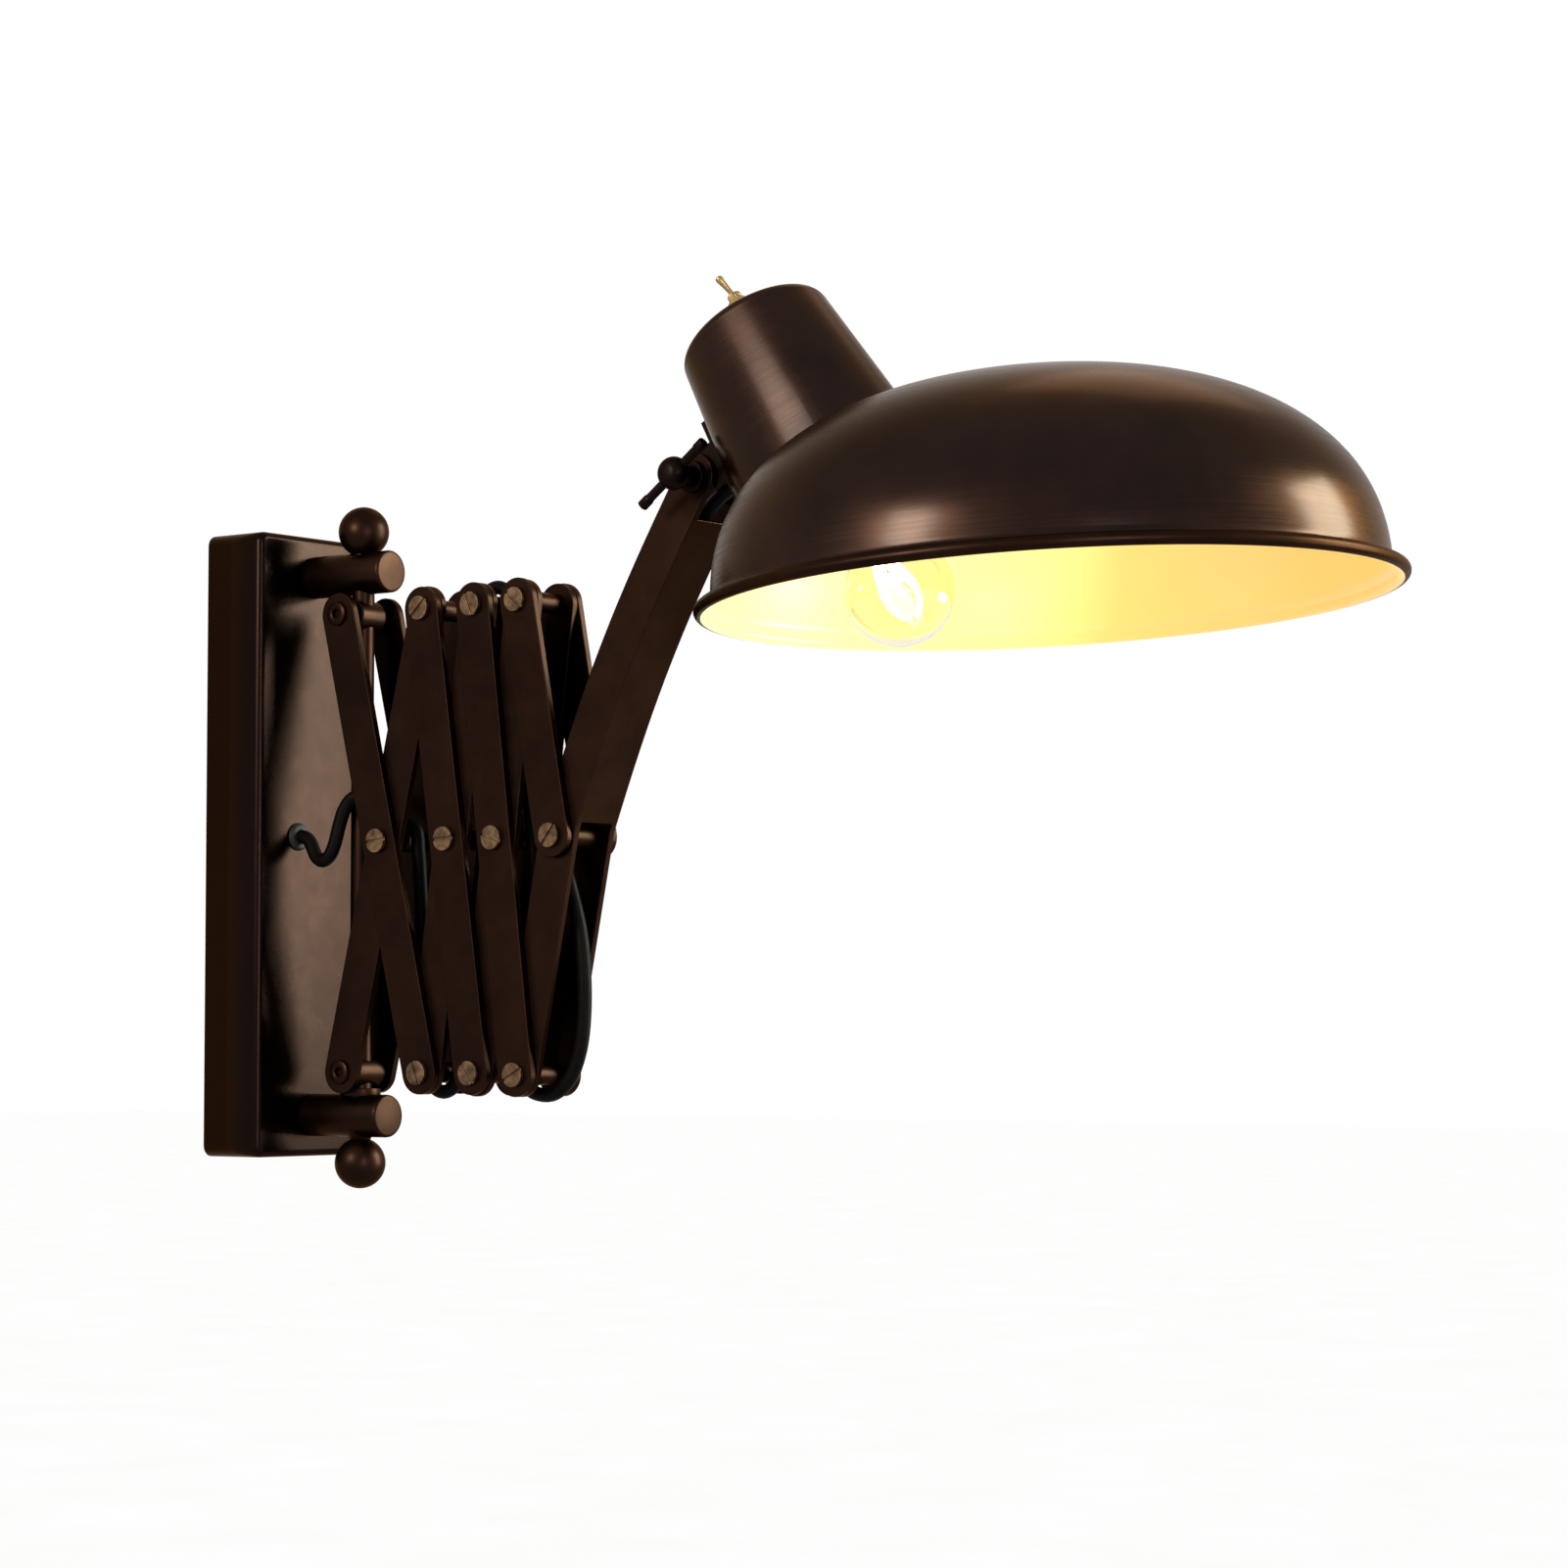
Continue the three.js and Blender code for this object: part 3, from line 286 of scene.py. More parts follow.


# Enamelled inside of the shade: cream stove enamel with a slight orange peel at 2.5 mm. Painted light on it:
# an emission that stands in for the lit lamp's light, pale and bright near the bulb, and deeper yellow to
# amber further away.
enamelWithPaintedLight = finishOf("creamEnamelWithPaintedLight", {
    "Base Color": tones(50, (0.3, "#8f7a3c"), (0.8, "#9a8548")), "Normal": relief(2.5, 0.04, 0.4),
    "Roughness": 0.38, "Emission Color": paintedBulbLight, "Emission Strength": 0.95,
})
# Clear bulb glass: colourless, polished, with a very faint blown ripple of 15 mm
glass = finishOf("clearGlass", {
    "Base Color": tones(20, (0.3, "#fbf8ea"), (0.8, "#fdfaf0")), "Normal": relief(15, 0.02, 0.3, 1),
    "Roughness": 0.02, "IOR": 1.5, "Transmission Weight": 1.0,
})
# Glowing filament: white hot tungsten, a touch dimmer where the coil cools every 3 mm
filamentGlow = finishOf("hotTungsten", {
    "Emission Color": tones(3, (0.3, "#fff2cf"), (0.8, "#fffbee")),
    "Base Color": linearColour("#8a8580"), "Emission Strength": 25.0,
})


# Plain metals and mouldings: colour and gloss vary a little, as on plated or moulded pieces
def plainFinish(name, dark, light, grainMm, roughness, ior=None):
    return finishOf(name, {
        "Base Color": tones(grainMm * 8, (0.3, dark), (0.8, light)),
        "Roughness": tones(grainMm * 3, (0.3, roughness), (0.8, roughness + 0.12)),
        "Normal": relief(grainMm, 0.02, 0.5),
        **({"IOR": ior, "Specular IOR Level": 0.2} if ior else {"Metallic": 1.0}),
    })


# Nickel plate on turned brass: bright, warm grey
nickel = plainFinish("nickelPlate", "#8e877b", "#b3aca0", 1.0, 0.24)
# Turned brass, lacquered: the switch's bush, nut and lever, brighter than the aged screws
turnedBrass = plainFinish("turnedBrass", "#6f5c3a", "#a58b5c", 1.0, 0.3)
# Zinc plate on pressed steel: dull grey with a fine spangle
zinc = plainFinish("zincPlate", "#7f7f7d", "#a3a29e", 2.0, 0.38)
# Moulded black rubber: matt, slightly grey where it is handled
rubber = plainFinish("mouldedRubber", "#070605", "#0f0d0c", 1.0, 0.6, 1.52)
# Glazed porcelain: smooth cream glaze over a white body
porcelain = plainFinish("glazedPorcelain", "#e6dfcf", "#f4efe2", 2.5, 0.2, 1.5)
nodeFinish = {
    "bronze_finish": bronze, "brass_hardware": brass, "zinc_steel": zinc, "nickel_plate": nickel,
    "black_rubber": rubber, "cord_jacket": jacket, "ivory_plastic": porcelain, "opal_glass": glass,
}
for node, piece in frame["nodes"].items():
    piece.data.materials.clear()
    piece.data.materials.append(nodeFinish[slots[node]])
for node in ("switch_body", "switch_nut"):
    frame["nodes"][node].data.materials[0] = turnedBrass
for node in ("head_bracket", "tilt_nut"):
    frame["nodes"][node].data.materials[0] = blackened
print("finishes made")


# Making and placing pieces
def linkPiece(name, mesh, material=None):
    piece = bpy.data.objects.new(name, mesh)
    bpy.context.scene.collection.objects.link(piece)
    if material is not None:
        mesh.materials.clear()
        mesh.materials.append(material)
    return piece


def smoothByAngle(mesh, degrees=35):
    work = bmesh.new()
    work.from_mesh(mesh)
    for face in work.faces:
        face.smooth = True
    for edge in work.edges:
        edge.smooth = not (len(edge.link_faces) == 2 and edge.calc_face_angle(0) > math.radians(degrees))
    work.to_mesh(mesh)
    work.free()


def settle(piece, body, slotName, *nodes):
    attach(piece, body)
    if nodes:
        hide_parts(*nodes)
    return piece


def bevelEdges(piece, width, segments=2):
    modifier = piece.modifiers.new("softEdges", "BEVEL")
    modifier.width, modifier.segments = width * mm, segments
    modifier.limit_method, modifier.angle_limit = "ANGLE", math.radians(40)
    modifier.harden_normals = True


# The finished mesh of a form drawn in millimetres, placed by a matrix
def meshFrom(work, name, matrix=Matrix.Identity(4), smooth=35):
    bmesh.ops.recalc_face_normals(work, faces=work.faces)
    bmesh.ops.transform(work, matrix=Matrix.Scale(mm, 4) @ matrix, verts=work.verts)
    mesh = bpy.data.meshes.new(name)
    work.to_mesh(mesh)
    work.free()
    smoothByAngle(mesh, smooth)
    return mesh


# Faces from each ring of points to the next. A ring of one point is a pole.
def bridge(work, rings):
    for low, high in zip(rings, rings[1:]):
        count = max(len(low), len(high))
        for i in range(count):
            j = (i + 1) % count
            corners = [low[i % len(low)], low[j % len(low)], high[j % len(high)], high[i % len(high)]]
            unique = list(dict.fromkeys(corners))
            if len(unique) > 2:
                work.faces.new(unique)


# Angles all the way round, and even shares from 0 to 1
def roundAngles(count):
    return [2 * math.pi * i / count for i in range(count)]


def shares(count):
    return [i / count for i in range(count + 1)]


# Corners of a turned outline drawn as small arcs, so that every edge catches the light
def rounded(outline, radii, steps=3):
    points = []
    for i, point in enumerate(outline):
        radius = radii.get(i, 0) if isinstance(radii, dict) else radii
        if not radius or i in (0, len(outline) - 1):
            points.append(point)
            continue
        here = Vector(point)
        before, after = Vector(outline[i - 1]) - here, Vector(outline[i + 1]) - here
        reach = min(radius, before.length * 0.45, after.length * 0.45)
        start, end = here + before.normalized() * reach, here + after.normalized() * reach
        points += [tuple(start * (1 - t) ** 2 + here * 2 * t * (1 - t) + end * t * t) for t in shares(steps)]
    return points


# A turned solid: outline points are (radius, height) round the local Z axis
def turnedMesh(name, outline, matrix, sides=64, closed=False):
    work = bmesh.new()
    rings = []
    for radius, height in outline:
        angles = roundAngles(sides) if radius > 1e-6 else [0.0]
        rings.append([work.verts.new((radius * math.cos(a), radius * math.sin(a), height)) for a in angles])
    bridge(work, rings + rings[:1] if closed else rings)
    return meshFrom(work, name, matrix)


outwardAxis = turnedBy(90)
sidewaysAxis = turnedBy(90, "Y")


def turnedPiece(name, outline, matrix, material, body, slotName, nodes=(), sides=64, closed=False):
    piece = linkPiece(name, turnedMesh(name, outline, matrix, sides, closed), material)
    return settle(piece, body, slotName, *nodes)


# A tube along a path in millimetres. With an axis it is a ring, closed on itself round it.
def tubeMesh(name, path, radius, sides, axis=None):
    work = bmesh.new()
    rings = []
    side = Vector((1, 0, 0))
    last = len(path) - 1
    for i, point in enumerate(path):
        if axis is None:
            ahead = (path[min(i + 1, last)] - path[max(i - 1, 0)]).normalized()
            side = (side - ahead * side.dot(ahead)).normalized()
            up = ahead.cross(side)
        else:
            ahead = (path[(i + 1) % len(path)] - path[i - 1]).normalized()
            side = ahead.cross(axis).normalized()
            up = side.cross(ahead)
        spokes = [side * math.cos(a) + up * math.sin(a) for a in roundAngles(sides)]
        rings.append([work.verts.new(point + spoke * radius) for spoke in spokes])
    bridge(work, rings + rings[:1] if axis is not None else rings)
    if axis is None:
        work.faces.new(rings[0])
        work.faces.new(rings[-1])
    return meshFrom(work, name, smooth=60 if axis is None else 80)


def plateMesh(name, outline, thickness, faceX, matrix):
    work = bmesh.new()
    sheet = [[work.verts.new((x, -out, up)) for out, up in outline] for x in (faceX - thickness, faceX)]
    bridge(work, sheet)
    for side in sheet:
        work.faces.new(side)
    return meshFrom(work, name, matrix)


def joinMeshes(name, meshes, material):
    work = bmesh.new()
    for mesh in meshes:
        work.from_mesh(mesh)
    whole = bpy.data.meshes.new(name)
    work.to_mesh(whole)
    work.free()
    return linkPiece(name, whole, material)


# The piece's mesh with its modifiers applied
def applied(piece):
    bpy.context.view_layer.update()
    graph = bpy.context.evaluated_depsgraph_get()
    result = bpy.data.meshes.new_from_object(piece.evaluated_get(graph))
    piece.modifiers.clear()
    piece.data = result
    return piece


# Cord: one limp flex of 6.2 mm, in seven pieces
cordSizes = {"diameter": 6.2, "sides": 20, "step": 1.6}
cordRoute = {
    "cord_wall_loop": [
        (11, -15.6, -8), (11.4, -8, -8.4), (14, -1, -9.4), (20, 3.1, -10), (27, 3.5, -10),
        (33.5, 3.6, -10), (37.4, 3.2, -10), (40.6, 1.2, -10.2), (43.2, -2.2, -10.8), (46, -5.8, -11.5),
        (50.2, -7.7, -12), (54.2, -5.8, -11.8), (56.6, -1, -11.2), (59, 8, -10.5), (61.4, 15, -9.8),
        (65.6, 19.9, -8.8), (70.6, 20.2, -7.2), (76, 17, -5),
    ],
    "cord_entry": [
        (76, 17, -5), (82, 13.2, -2.6), (87.5, 9.6, -0.8), (95.2, 5.6), (97, -4), (98.2, -16),
    ],
    "cord_down_bar_0": [
        (98.2, -16), (98.9, -26), (100.94, -55), (102.28, -74), (102.98, -84),
    ],
    "cord_turn_low": [
        (102.98, -84), (103.54, -92), (104.24, -102), (106.73, -108.01), (112.74, -110.5),
        (118.75, -108.01), (121.24, -102), (123.4, -84), (126.6, -60), (131.4, -30), (135.9, 0),
        (137.7, 20), (138, 32),
    ],
    "cord_turn_high": [
        (138, 32), (137.9, 44), (136.6, 74), (134.3, 101.6), (136.79, 107.6), (142.8, 110.1),
        (148.81, 107.6), (151.3, 101.6), (153.6, 74), (158, 38), (163.6, 0), (165, -26), (164.7, -42),
    ],
    "cord_free_bow": [
        (164.7, -42), (163.9, -58), (161.8, -80), (159.74, -102.6), (162.23, -108.6), (168.24, -111.1),
        (177, -110.6), (185.5, -104), (191, -92), (193.2, -78), (193.2, -60), (190.6, -40), (184.6, -20),
        (178.9, -1), (181, 15), (187.6, 27), (197, 40), (206.1, 54), (219.7, 75), (233.3, 96),
    ],
    "cord_head": [
        (233.3, 96), (241.1, 108), (249.6, 121.1), (257, 131.6), (266, 139.5), (275, 145), (284, 150.5),
        (288.3, 155.6), (290.3, 165.3), (290.3, 176.1), (293, 183.8), (299.3, 184.4), (303.9, 179.1),
        (308.3, 172.4), (311.7, 167.4),
    ],
}
# The two bodies that each piece joins, and where its bend starts and ends
cordBodies = {
    "cord_wall_loop": ("wall_bracket", "swivel", at(36, 3, -10), at(74, 18, -6)),
    "cord_entry": ("swivel", "up_bars_0", at(76, 17, -5), at(92, 7, -2)),
    "cord_down_bar_0": ("up_bars_0", "down_bars_0", at(98.2, -16), at(102.98, -84)),
    "cord_turn_low": ("down_bars_0", "up_bars_1", at(107.5, -102), at(118, -102)),
    "cord_turn_high": ("up_bars_1", "down_bars_2", at(141.3, 101.6), at(148.2, 101.6)),
    "cord_free_bow": ("down_bars_2", "arm", at(168.0, -102.6), at(175.7, -102.6)),
    "cord_head": ("arm", "head", at(257, 131.6), at(284, 150.5)),
}


# A point of the curve through p1 and p2, whose knots t1 and t2 stand apart by the root of
# the distance, so that it doesn't loop where points lie close
def curvePoint(p0, p1, p2, p3, gaps, share):
    t1 = gaps[0]
    t2 = t1 + gaps[1]
    t3 = t2 + gaps[2]
    t = t1 + gaps[1] * share
    a1 = p0 * ((t1 - t) / t1) + p1 * (t / t1)
    a2 = p1 * ((t2 - t) / gaps[1]) + p2 * ((t - t1) / gaps[1])
    a3 = p2 * ((t3 - t) / gaps[2]) + p3 * ((t - t2) / gaps[2])
    b1 = a1 * ((t2 - t) / t2) + a2 * (t / t2)
    b2 = a2 * ((t3 - t) / (t3 - t1)) + a3 * ((t - t1) / (t3 - t1))
    return b1 * ((t2 - t) / gaps[1]) + b2 * ((t - t1) / gaps[1])


# The whole route as one smooth line, so that the pieces meet without a kink
def smoothRoute(routes, step):
    stations = [(name, spot(*place)) for name, route in routes.items() for place in route[:-1]]
    points = [point for _, point in stations] + [spot(*list(routes.values())[-1][-1])]
    pieces = {name: [] for name in routes}
    for i, (name, p1) in enumerate(stations):
        p2 = points[i + 1]
        p0 = points[i - 1] if i else p1 * 2 - p2
        p3 = points[i + 2] if i + 2 < len(points) else p2 * 2 - p1
        gaps = [max((b - a).length ** 0.5, 1e-6) for a, b in ((p0, p1), (p1, p2), (p2, p3))]
        for share in shares(max(2, round((p2 - p1).length / step))):
            point = curvePoint(p0, p1, p2, p3, gaps, share)
            if not pieces[name] or (pieces[name][-1] - point).length > 0.05:
                pieces[name].append(point)
    return pieces


def lengthOf(path):
    return sum((b - a).length for a, b in zip(path, path[1:]))


cordPaths = smoothRoute(cordRoute, cordSizes["step"])
for name, path in cordPaths.items():
    mesh = tubeMesh(name, path, cordSizes["diameter"] / 2, cordSizes["sides"])
    flex = linkPiece(name + "_flex", mesh, jacket)
    bodyA, bodyB, start, end = cordBodies[name]
    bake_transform(flex)
    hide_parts(name)
print("cord laid, %.0f mm" % sum(lengthOf(path) for path in cordPaths.values()))


# Geometry nodes shared by the repeated pieces
socketKinds = {
    "NodeSocketFloat": float, "NodeSocketInt": int, "NodeSocketVector": Vector,
    "NodeSocketMaterial": bpy.types.Material,
}


# An empty tree with an input for each value
def newTree(name, values):
    tree = bpy.data.node_groups.new(name, "GeometryNodeTree")
    tree.interface.new_socket("Geometry", in_out="INPUT", socket_type="NodeSocketGeometry")
    for label, value in values.items():
        kind = next(kind for kind, made in socketKinds.items() if isinstance(value, made))
        tree.interface.new_socket(label, in_out="INPUT", socket_type=kind).default_value = value
    tree.interface.new_socket("Geometry", in_out="OUTPUT", socket_type="NodeSocketGeometry")
    return tree, addNode(tree, "NodeGroupInput"), addNode(tree, "NodeGroupOutput")


def pointCloudMesh(name, places, attributes):
    mesh = bpy.data.meshes.new(name)
    mesh.from_pydata([tuple(place) for place in places], [], [])
    for label, values in attributes.items():
        mesh.attributes.new(label, "FLOAT", "POINT").data.foreach_set("value", [float(v) for v in values])
    return mesh


# Runs a tree on a mesh and keeps the result as a plain mesh
def grown(name, mesh, tree, values):
    piece = linkPiece(name, mesh)
    modifier = piece.modifiers.new("grow", "NODES")
    modifier.node_group = tree
    for item in tree.interface.items_tree:
        if item.item_type == "SOCKET" and item.in_out == "INPUT" and item.name in values:
            modifier[item.identifier] = values[item.name]
    return applied(piece)


def transformed(tree, geometry, **inputs):
    return addNode(tree, "GeometryNodeTransform", {"Geometry": geometry, **inputs})


def painted(tree, geometry, finish, **chosen):
    return addNode(tree, "GeometryNodeSetMaterial", {"Geometry": geometry, "Material": finish, **chosen})


def onPoints(tree, points, instance, **inputs):
    placed = addNode(tree, "GeometryNodeInstanceOnPoints", {"Points": points, "Instance": instance, **inputs})
    return addNode(tree, "GeometryNodeRealizeInstances", {"Geometry": placed})


def pointValue(tree, label):
    return addNode(tree, "GeometryNodeInputNamedAttribute", {"Name": label}, data_type="FLOAT")


def joined(tree, *geometries):
    return addNode(tree, "GeometryNodeJoinGeometry", {"Geometry": list(geometries)})


# Scissor: fourteen flat bars in seven pairs, pinned in layers
linkSizes = {"width": 19.0, "thickness": 3.2, "innerMiddle": 11.6, "outerMiddle": 15.1, "softEdge": 0.4}
barValues = {
    "Length": 0.2, "Width": linkSizes["width"] * mm, "Thickness": linkSizes["thickness"] * mm,
    "End Points": 14, "Finish": bronze,
}


# Round-ended flat bars: one point for each bar, at its middle, with its lean
def barTree():
    tree, given, out = newTree("linkBars", barValues)
    size = given.outputs
    strip = addNode(tree, "GeometryNodeCurvePrimitiveQuadrilateral", {
        "Width": size["Width"], "Height": mathOf(tree, "ADD", size["Length"], size["Width"]),
    })
    ends = addNode(tree, "GeometryNodeFilletCurve", {
        "Curve": strip, "Count": size["End Points"], "Limit Radius": True,
        "Radius": mathOf(tree, "MULTIPLY", size["Width"], 0.4999),
    }, mode="POLY")
    face = addNode(tree, "GeometryNodeFillCurve", {"Curve": ends}, mode="NGONS")
    lifted = addNode(tree, "GeometryNodeExtrudeMesh", {
        "Mesh": face, "Offset Scale": size["Thickness"], "Individual": False,
    }, mode="FACES")
    back = addNode(tree, "GeometryNodeFlipFaces", {"Mesh": face})
    closed = addNode(tree, "GeometryNodeMergeByDistance", {
        "Geometry": joined(tree, lifted, back), "Distance": 1e-5,
    })
    shift = combined(tree, Z=mathOf(tree, "MULTIPLY", size["Thickness"], -0.5))
    centred = transformed(tree, closed, Translation=shift)
    upright = transformed(tree, centred, Rotation=(math.pi / 2, 0, math.pi / 2))
    bars = onPoints(tree, given, upright, Rotation=combined(tree, X=pointValue(tree, "lean")))
    feed(tree, out, {"Geometry": painted(tree, bars, size["Finish"])})
    return tree


linkBars = barTree()


def along(start, lean, distance):
    angle = math.radians(lean)
    return (start[0] + distance * math.sin(angle), start[1] + distance * math.cos(angle))


# A near and a far bar. The middle is a place in the side view, as (out, up).
def barPair(name, number, middle, lean, half, layer):
    x = linkSizes[layer]
    cloud = pointCloudMesh(name, [at(*middle, -x), at(*middle, x)], {"lean": [math.radians(lean)] * 2})
    pair = grown(f"{name}Bars{number}", cloud, linkBars, {**barValues, "Length": 2 * half * mm})
    smoothByAngle(pair.data)
    bevelEdges(pair, linkSizes["softEdge"])
    nodes = [f"{side}_{name}_bar_{number}" for side in ("near", "far")]
    settle(pair, f"{name}_bars_{number}", "bronze_finish", *nodes)


# Half lengths and leans of the cells' bars, from the wall outwards. The places are low (b),
# middle (m) and high (t) pivots, in the order in which the bars lead to them.
scissorShape = {
    "foot": (63.0, -102.0), "halves": (105.0, 102.9, 102.9, 104.2), "leans": (13.7, 8.4, 7.1, 11.0),
}
half0, half1, half2, half3 = scissorShape["halves"]
lean0, lean1, lean2, lean3 = scissorShape["leans"]
b0 = scissorShape["foot"]
m0 = along(b0, lean0, half0)
t0 = along(m0, -lean0, half0)
b1 = along(m0, -lean0, -half0)
m1 = along(b1, lean1, half1)
t1 = along(m1, -lean1, half1)
b2 = along(m1, -lean1, -half1)
t2 = along(b1, lean1, 2 * half1)
m2 = along(t2, -lean2, -half2)
b3 = along(t2, -lean2, -2 * half2)
m3 = along(b3, lean3, half3)
t3 = along(m3, -lean3, half3)

barPair("up", 0, m0, lean0, half0, "innerMiddle")
barPair("down", 0, m0, -lean0, half0, "outerMiddle")
barPair("up", 1, m1, lean1, half1, "innerMiddle")
barPair("down", 1, m1, -lean1, half1, "outerMiddle")
barPair("down", 2, m2, -lean2, half2, "outerMiddle")
barPair("up", 2, m2, lean2, half2, "innerMiddle")
barPair("down", 3, along(m3, -lean3, half3 / 2), -lean3, half3 / 2, "outerMiddle")
print("bars laid out")

# Pivot pins: a slotted brass head on the near side, a spacer tube between the inner bars, and
# a nut on the far side. One point for each pin, with its slot's angle and its spacer's width.
pinSizes = {
    "Head Diameter": 10.5, "Head Height": 1.8, "Head Face": 17.0, "Slot Width": 1.3, "Slot Depth": 0.9,
    "Spacer Diameter": 9.0, "Spacer Length": 19.4, "Nut Across": 8.0, "Nut Height": 2.4, "Tail": 1.2,
    "Shank Diameter": 5.0,
}
pinSoftEdge = 0.35
pinValues = {label: value * mm for label, value in pinSizes.items()}
pinValues.update({"Head Finish": brass, "Spacer Finish": bronze})


def pinTree():
    tree, given, out = newTree("pivotPins", pinValues)
    size = given.outputs

    def calc(operation, first, second):
        return mathOf(tree, operation, first, second)

    def sidewaysRod(diameter, depth, middle, sides):
        rod = addNode(tree, "GeometryNodeMeshCylinder", {
            "Vertices": sides, "Radius": calc("MULTIPLY", diameter, 0.5), "Depth": depth,
        })
        return transformed(tree, rod, Translation=combined(tree, X=middle), Rotation=(0, math.pi / 2, 0))

    headMiddle = calc("SUBTRACT", calc("MULTIPLY", size["Head Height"], -0.5), size["Head Face"])
    bar = addNode(tree, "GeometryNodeMeshCube", {"Size": combined(
        tree, X=calc("MULTIPLY", size["Slot Depth"], 2.0), Y=calc("MULTIPLY", size["Head Diameter"], 1.3),
        Z=size["Slot Width"],
    )})
    crown = calc("ADD", size["Head Face"], size["Head Height"])
    slotted = addNode(tree, "GeometryNodeMeshBoolean", {
        "Mesh 1": sidewaysRod(size["Head Diameter"], size["Head Height"], headMiddle, 40),
        "Mesh 2": transformed(tree, bar, Translation=combined(tree, X=calc("MULTIPLY", crown, -1.0))),
    }, operation="DIFFERENCE")
    heads = onPoints(tree, given, slotted, Rotation=combined(tree, X=pointValue(tree, "slotAngle")))
    wide = pointValue(tree, "spacerScale")
    spacer = sidewaysRod(size["Spacer Diameter"], size["Spacer Length"], 0.0, 32)
    spacers = onPoints(tree, given, spacer, Scale=combined(tree, X=1.0, Y=wide, Z=wide))
    nutMiddle = calc("ADD", size["Head Face"], calc("MULTIPLY", size["Nut Height"], 0.5))
    nutDiameter = calc("MULTIPLY", size["Nut Across"], 2 / math.sqrt(3))
    nut = sidewaysRod(nutDiameter, size["Nut Height"], nutMiddle, 6)
    tailLength = calc("ADD", size["Nut Height"], size["Tail"])
    tailMiddle = calc("ADD", size["Head Face"], calc("MULTIPLY", tailLength, 0.5))
    tail = sidewaysRod(size["Shank Diameter"], tailLength, tailMiddle, 20)
    nuts = onPoints(tree, given, joined(tree, nut, tail))
    feed(tree, out, {"Geometry": joined(
        tree, painted(tree, heads, size["Head Finish"]), painted(tree, spacers, size["Spacer Finish"]),
        painted(tree, nuts, size["Head Finish"]),
    )})
    return tree


pivotPins = pinTree()
# For each body: its bars' lean, then its pins' names, places, slot angles and spacer widths
pinPlaces = {
    "down_bars_0": (-lean0, [("middle_0", m0, 8, 1.0), ("low_1", b1, 82, 1.0)]),
    "down_bars_1": (-lean1, [("high_1", t1, -35, 1.0), ("middle_1", m1, 5, 1.0), ("low_2", b2, 60, 1.0)]),
    "down_bars_2": (-lean2, [("high_2", t2, 75, 1.0), ("middle_2", m2, 25, 1.0), ("low_3", b3, -20, 1.0)]),
    "down_bars_3": (-lean3, [("high_3", t3, 50, 1.0), ("middle_3", m3, -40, 10.7 / 9.0)]),
}
for body, (lean, pins) in pinPlaces.items():
    cloud = pointCloudMesh("pins", [at(*place) for _, place, _, _ in pins], {
        "slotAngle": [math.radians(angle + lean) for _, _, angle, _ in pins],
        "spacerScale": [scale for _, _, _, scale in pins],
    })
    pinSet = grown("pivotPins_" + body, cloud, pivotPins, pinValues)
    smoothByAngle(pinSet.data)
    bevelEdges(pinSet, pinSoftEdge)
    settle(pinSet, body, "brass_hardware", *["pivot_pin_" + pin[0] for pin in pins])
print("pivot pins set")

# Long arm: a folded channel, two cheeks and a web on the side away from the wall
armSizes = {
    "half": half3, "bend": 15.9, "upper": 166.1, "endRadius": 10.0, "radius": 9.5, "cheek": 3.2,
    "innerFace": 10.0, "web": 2.0, "webInset": 0.6, "webStart": 10.0, "webEnd": 16.0, "bow": 5.0,
    "softEdge": 0.5, "steps": 24,
}


def arcPoints(centre, radius, start, end, steps):
    angles = [math.radians(start + (end - start) * i / steps) for i in range(steps + 1)]
    return [(centre[0] + radius * math.cos(a), centre[1] + radius * math.sin(a)) for a in angles]


# The upper half bows a little towards the wall: the bow's middle stands this far off the chord
def bowed(share, aside):
    upper, bend = armSizes["upper"], math.radians(armSizes["bend"])
    out, up = aside - armSizes["bow"] * math.sin(math.pi * share), upper * share
    across, climb = out * math.cos(bend) + up * math.sin(bend), up * math.cos(bend) - out * math.sin(bend)
    return (across, armSizes["half"] + climb)


# Outline of a cheek in its own side view: right is out, up is along the lower half, foot at 0
def cheekOutline():
    half, radius, bend, steps = (armSizes[key] for key in ("half", "radius", "bend", "steps"))
    points = arcPoints((0.0, 0.0), radius, -180, 0, 18)
    points += [bowed(k / steps, radius) for k in range(1, steps)]
    points += arcPoints(bowed(1, 0), armSizes["endRadius"], -bend, 180 - bend, 20)
    points += [bowed(k / steps, -radius) for k in range(steps - 1, 1, -1)]
    return points + arcPoints((0.0, half), radius, 180 - bend, 180, 4)


armFrame = moved(*b3) @ turnedBy(lean3)
armHalf = armSizes["innerFace"] + armSizes["cheek"]
cheekFaces = (armHalf, -armSizes["innerFace"])
cheeks = [plateMesh("cheek", cheekOutline(), armSizes["cheek"], x, armFrame) for x in cheekFaces]
webFace = armSizes["radius"] - 0.02
webHalf = armHalf - armSizes["webInset"]
webReach = armSizes["upper"] - armSizes["webEnd"] - armSizes["webStart"]
webShares = [(armSizes["webStart"] + webReach * k) / armSizes["upper"] for k in shares(armSizes["steps"])]
webStrip = [bowed(share, webFace) for share in webShares]
webStrip += [bowed(share, webFace - armSizes["web"]) for share in reversed(webShares)]
web = plateMesh("web", webStrip, 2 * webHalf, webHalf, armFrame)
longArm = joinMeshes("longArm", [*cheeks, web], bronze)
bevelEdges(longArm, armSizes["softEdge"], 3)
settle(longArm, "arm", "bronze_finish", "long_arm")
print("long arm folded")

# Wall cover: a deep pressed box open at the back
coverSizes = {
    "height": 280.0, "width": 70.0, "depth": 33.0, "wall": 1.2, "edge": 3.2, "corner": 5.0,
    "cornerSteps": 8, "edgeSteps": 6,
}


